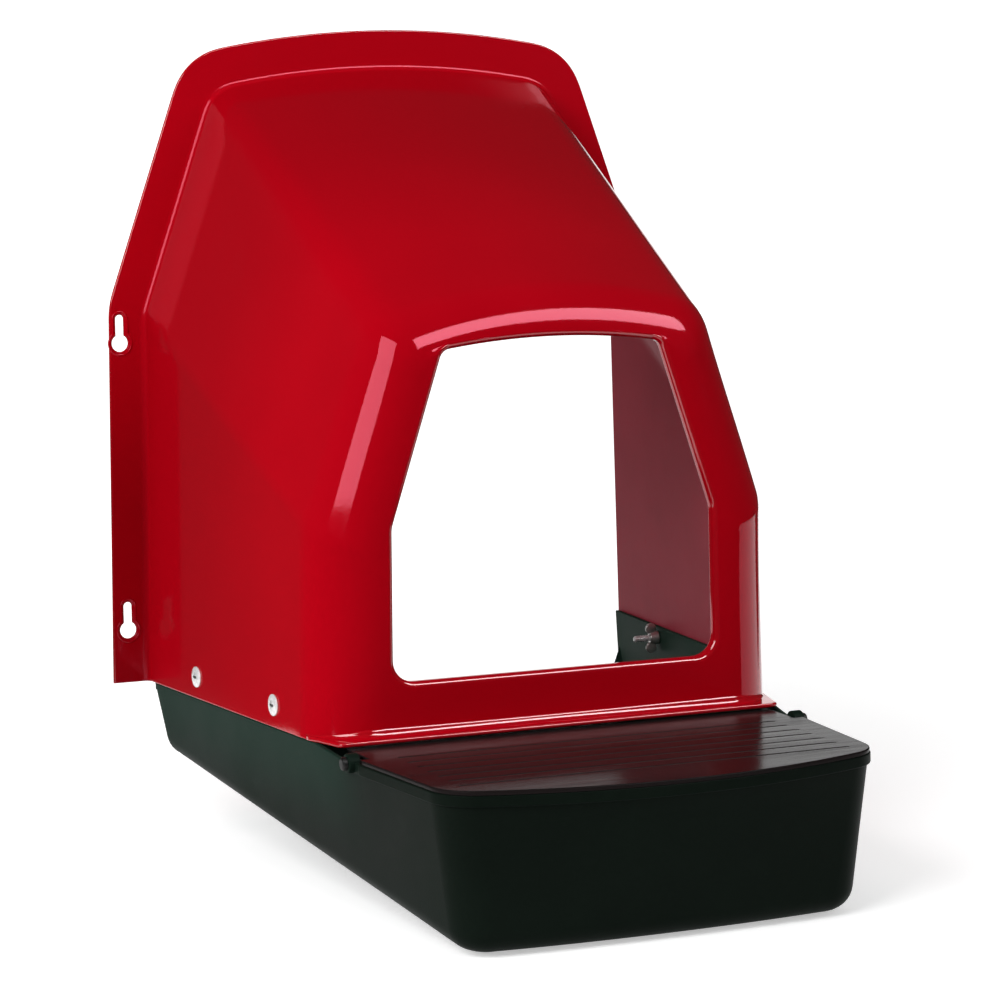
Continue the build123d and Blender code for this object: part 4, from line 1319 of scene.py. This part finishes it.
class NESTBOX_OT_fasteners(bpy.types.Operator):
    """Builds the screws and wing nuts"""

    bl_idname = "nestbox.fasteners"
    bl_label = "Fasteners"

    def execute(self, context):
        plan, tray, sizes, finish = settings(context, "plan", "tray", "fasteners", "finish")
        bright, dull = zinc("bright zinc", finish.zinc, 0.3, 0.4), zinc("dull zinc", finish.nut, 0.3, 0.8)
        # painted shade: a dark copy of the bright zinc for the deep faces of the screws' recesses
        deep = zinc("zinc with painted recess shade", shade(finish.zinc, 0.12)[:3], 0.4, 0.4)
        parts = {
            "screw": (screw_skins(sizes), "screw", [bright, deep]),
            "wing_nut": (nut_skins(sizes, tray.panel_in), "nut", [dull]),
        }
        for hand, sign in (("left", -1), ("right", 1)):
            for row, depth in (("rear", sizes.rear), ("front", sizes.front)):
                place = f"{hand}_{row}"
                for kind, (grids, slot, coats) in parts.items():
                    node = f"{kind}_{place}"
                    NODES[node].data.materials[0] = coats[0]
                    skin = Skin()
                    for grid, coat in grids:
                        skin.tube(on_wall(plan, sizes, sign, depth, grid), coat)
                    add_piece(f"{place}_{kind}", skin.mesh(f"{place} {kind}"), "box", coats, [node])
        return {"FINISHED"}


# Stage


def heading(azimuth, elevation):
    """Direction to a lamp: azimuth 0 is straight before the part, positive to its right."""
    a, e = radians(azimuth), radians(elevation)
    return Vector((sin(a) * cos(e), -cos(a) * cos(e), sin(e)))


def add_lamp(aim, name, azimuth, elevation, distance, wide, high, radiance, roll, diffuse, glossy):
    """Area lamp of an even radiance that faces the aim, its width and height given as angles seen from there."""
    data = bpy.data.lights.new(name, "AREA")
    data.shape = "RECTANGLE"
    data.size, data.size_y = (2 * distance * tan(radians(a) / 2) for a in (wide, high))
    data.energy = radiance * pi * data.size * data.size_y
    lamp = bpy.data.objects.new(name, data)
    bpy.context.scene.collection.objects.link(lamp)
    to = heading(azimuth, elevation)
    turn = to.to_track_quat("Z", "Y").to_matrix().to_4x4() @ Matrix.Rotation(radians(roll), 4, "Z")
    lamp.matrix_world = Matrix.Translation(aim + to * distance) @ turn
    lamp.visible_diffuse, lamp.visible_glossy, lamp.visible_camera = diffuse, glossy, False


def paper_sweep(stage):
    """Paper sweep behind the part: a floor that bends up along a quarter circle, turned to the camera's heading."""
    out, lift = stage.sweep_radius * np.stack(quarter(17))
    floor, bend = np.linspace(-stage.sweep_near, stage.sweep_far, 9)[:-1], stage.sweep_far + out
    along = np.concatenate([floor, bend, bend[-1:]])
    up = np.concatenate([0 * floor, lift, [stage.sweep_top]])
    half = np.interp(along, [0.0, stage.sweep_far], [stage.sweep_near, stage.sweep_half])
    across = half[:, None] * np.linspace(-1, 1, 5)
    ahead = np.array([-sin(stage.yaw), cos(stage.yaw)])
    right = np.array([cos(stage.yaw), sin(stage.yaw)])
    flat = along[:, None, None] * ahead + across[..., None] * right + stage.aim[:2]
    return np.concatenate([flat, np.broadcast_to((up + GROUND)[:, None, None], flat.shape[:2] + (1,))], -1)


def pale_paper(stage):
    """Pale paper that shows nearly white to the camera and to mirrors, keeps the part's shadow close to it, has
    painted light towards the sides that fades that shadow there, and lets light and sight through from behind."""
    f = Finish(bpy.data.materials.new("pale paper"))
    path = f.node("ShaderNodeLightPath")
    mirrored = path.out("Is Glossy Ray").math("MAXIMUM", path.out("Is Transmission Ray"))
    seen = path.out("Is Camera Ray").math("MAXIMUM", mirrored)
    about = {"Vector": f.place(), "Angle": -stage.yaw}
    ahead = f.node("ShaderNodeVectorRotate", {"rotation_type": "Z_AXIS"}, about).out("Vector")
    apart = f.node("ShaderNodeSeparateXYZ", None, {"Vector": ahead})
    behind, right = apart.out("Y"), apart.out("X")
    # painted light: more glow towards both sides fades the part's shadow at the left and keeps it only close to the
    # part at the right
    sides = f.ramp(right, *GLOW_RIGHT_X) + f.ramp(right, *GLOW_LEFT_X)
    lift = GLOW + GLOW_FAR * f.ramp(behind, *GLOW_FAR_Y) + GLOW_SIDE * sides
    tone = f.tones(f.noise(700.0, 3.0), stage.paper, 0.99, 1.01)
    matt = f.node("ShaderNodeBsdfDiffuse", None, {"Color": tone}).out("BSDF")
    glow = f.node("ShaderNodeEmission", None, {"Color": (1, 1, 1, 1), "Strength": lift * seen}).out("Emission")
    front = f.node("ShaderNodeAddShader", None, {0: matt, 1: glow}).out("Shader")
    clear = f.node("ShaderNodeBsdfTransparent").out("BSDF")
    reverse = f.node("ShaderNodeNewGeometry").out("Backfacing")
    both = f.node("ShaderNodeMixShader", None, {0: reverse, 1: front, 2: clear}).out("Shader")
    f.node("ShaderNodeOutputMaterial", None, {"Surface": both})
    return f.owner


class NESTBOX_OT_stage(bpy.types.Operator):
    """Sets up the paper sweep, lamps, world and camera"""

    bl_idname = "nestbox.stage"
    bl_label = "Stage"

    def execute(self, context):
        scene, stage = context.scene, context.scene.nestbox_stage
        points = paper_sweep(stage)
        sweep = bpy.data.meshes.new("paper sweep")
        sweep.from_pydata(points.reshape(-1, 3).tolist(), [], grid_faces(*points.shape[:2]).tolist())
        sweep.shade_smooth()
        sweep.materials.append(pale_paper(stage))
        paper = bpy.data.objects.new("paper_sweep", sweep)
        scene.collection.objects.link(paper)

        for lamp in LAMPS:
            add_lamp(Vector(stage.aim), *lamp)

        world = bpy.data.worlds.new("studio")
        scene.world = world
        f = Finish(world)
        toward = f.node("ShaderNodeTexCoord").out("Generated")
        up = f.node("ShaderNodeSeparateXYZ", None, {"Vector": toward}).out("Z")
        level = f.blend(f.ramp(up, -0.1, 0.9), shade(stage.sky_low, 1.0), shade(stage.sky_high, 1.0))
        sky = f.node("ShaderNodeBackground", None, {"Color": level, "Strength": 1.0}).out("Background")
        f.node("ShaderNodeOutputWorld", None, {"Surface": sky})

        data = bpy.data.cameras.new("camera")
        data.sensor_width, data.lens = SENSOR, stage.lens
        data.clip_start, data.clip_end = CLIP
        camera = bpy.data.objects.new("camera", data)
        scene.collection.objects.link(camera)
        ahead = Vector(
            (-sin(stage.yaw) * cos(stage.pitch), cos(stage.yaw) * cos(stage.pitch), -sin(stage.pitch))
        )
        right = Vector((cos(stage.yaw), sin(stage.yaw), 0.0))
        above = right.cross(ahead)
        x_axis = cos(stage.roll) * right + sin(stage.roll) * above
        y_axis = -sin(stage.roll) * right + cos(stage.roll) * above
        turn = Matrix((x_axis, y_axis, -ahead)).transposed().to_4x4()
        camera.matrix_world = Matrix.Translation(Vector(stage.eye)) @ turn
        scene.camera = camera
        scene.view_settings.view_transform = "Standard"
        return {"FINISHED"}


# Panel


class NESTBOX_PT_panel(bpy.types.Panel):
    """Lists the pieces of the nest box"""

    bl_label = "Nest box"
    bl_idname = "NESTBOX_PT_panel"
    bl_space_type = "VIEW_3D"
    bl_region_type = "UI"
    bl_category = "Nest box"

    def draw(self, context):
        for operator in OPERATORS:
            self.layout.operator(operator.bl_idname)


GROUPS = {
    "nestbox_plan": NestBoxPlan,
    "nestbox_hood": NestBoxHood,
    "nestbox_tray": NestBoxTray,
    "nestbox_fasteners": NestBoxFasteners,
    "nestbox_finish": NestBoxFinish,
    "nestbox_stage": NestBoxStage,
}
OPERATORS = (NESTBOX_OT_hood, NESTBOX_OT_tray, NESTBOX_OT_lid, NESTBOX_OT_fasteners, NESTBOX_OT_stage)


def register():
    for group in GROUPS.values():
        bpy.utils.register_class(group)
    for name, group in GROUPS.items():
        setattr(bpy.types.Scene, name, PointerProperty(type=group))
    for item in (*OPERATORS, NESTBOX_PT_panel):
        bpy.utils.register_class(item)


def unregister():
    for item in (NESTBOX_PT_panel, *reversed(OPERATORS)):
        bpy.utils.unregister_class(item)
    for name, group in reversed(GROUPS.items()):
        delattr(bpy.types.Scene, name)
        bpy.utils.unregister_class(group)


def main():
    register()
    bpy.ops.nestbox.hood()
    bpy.ops.nestbox.tray()
    bpy.ops.nestbox.lid()
    bpy.ops.nestbox.fasteners()
    bpy.ops.nestbox.stage()


if __name__ == "__main__":
    main()
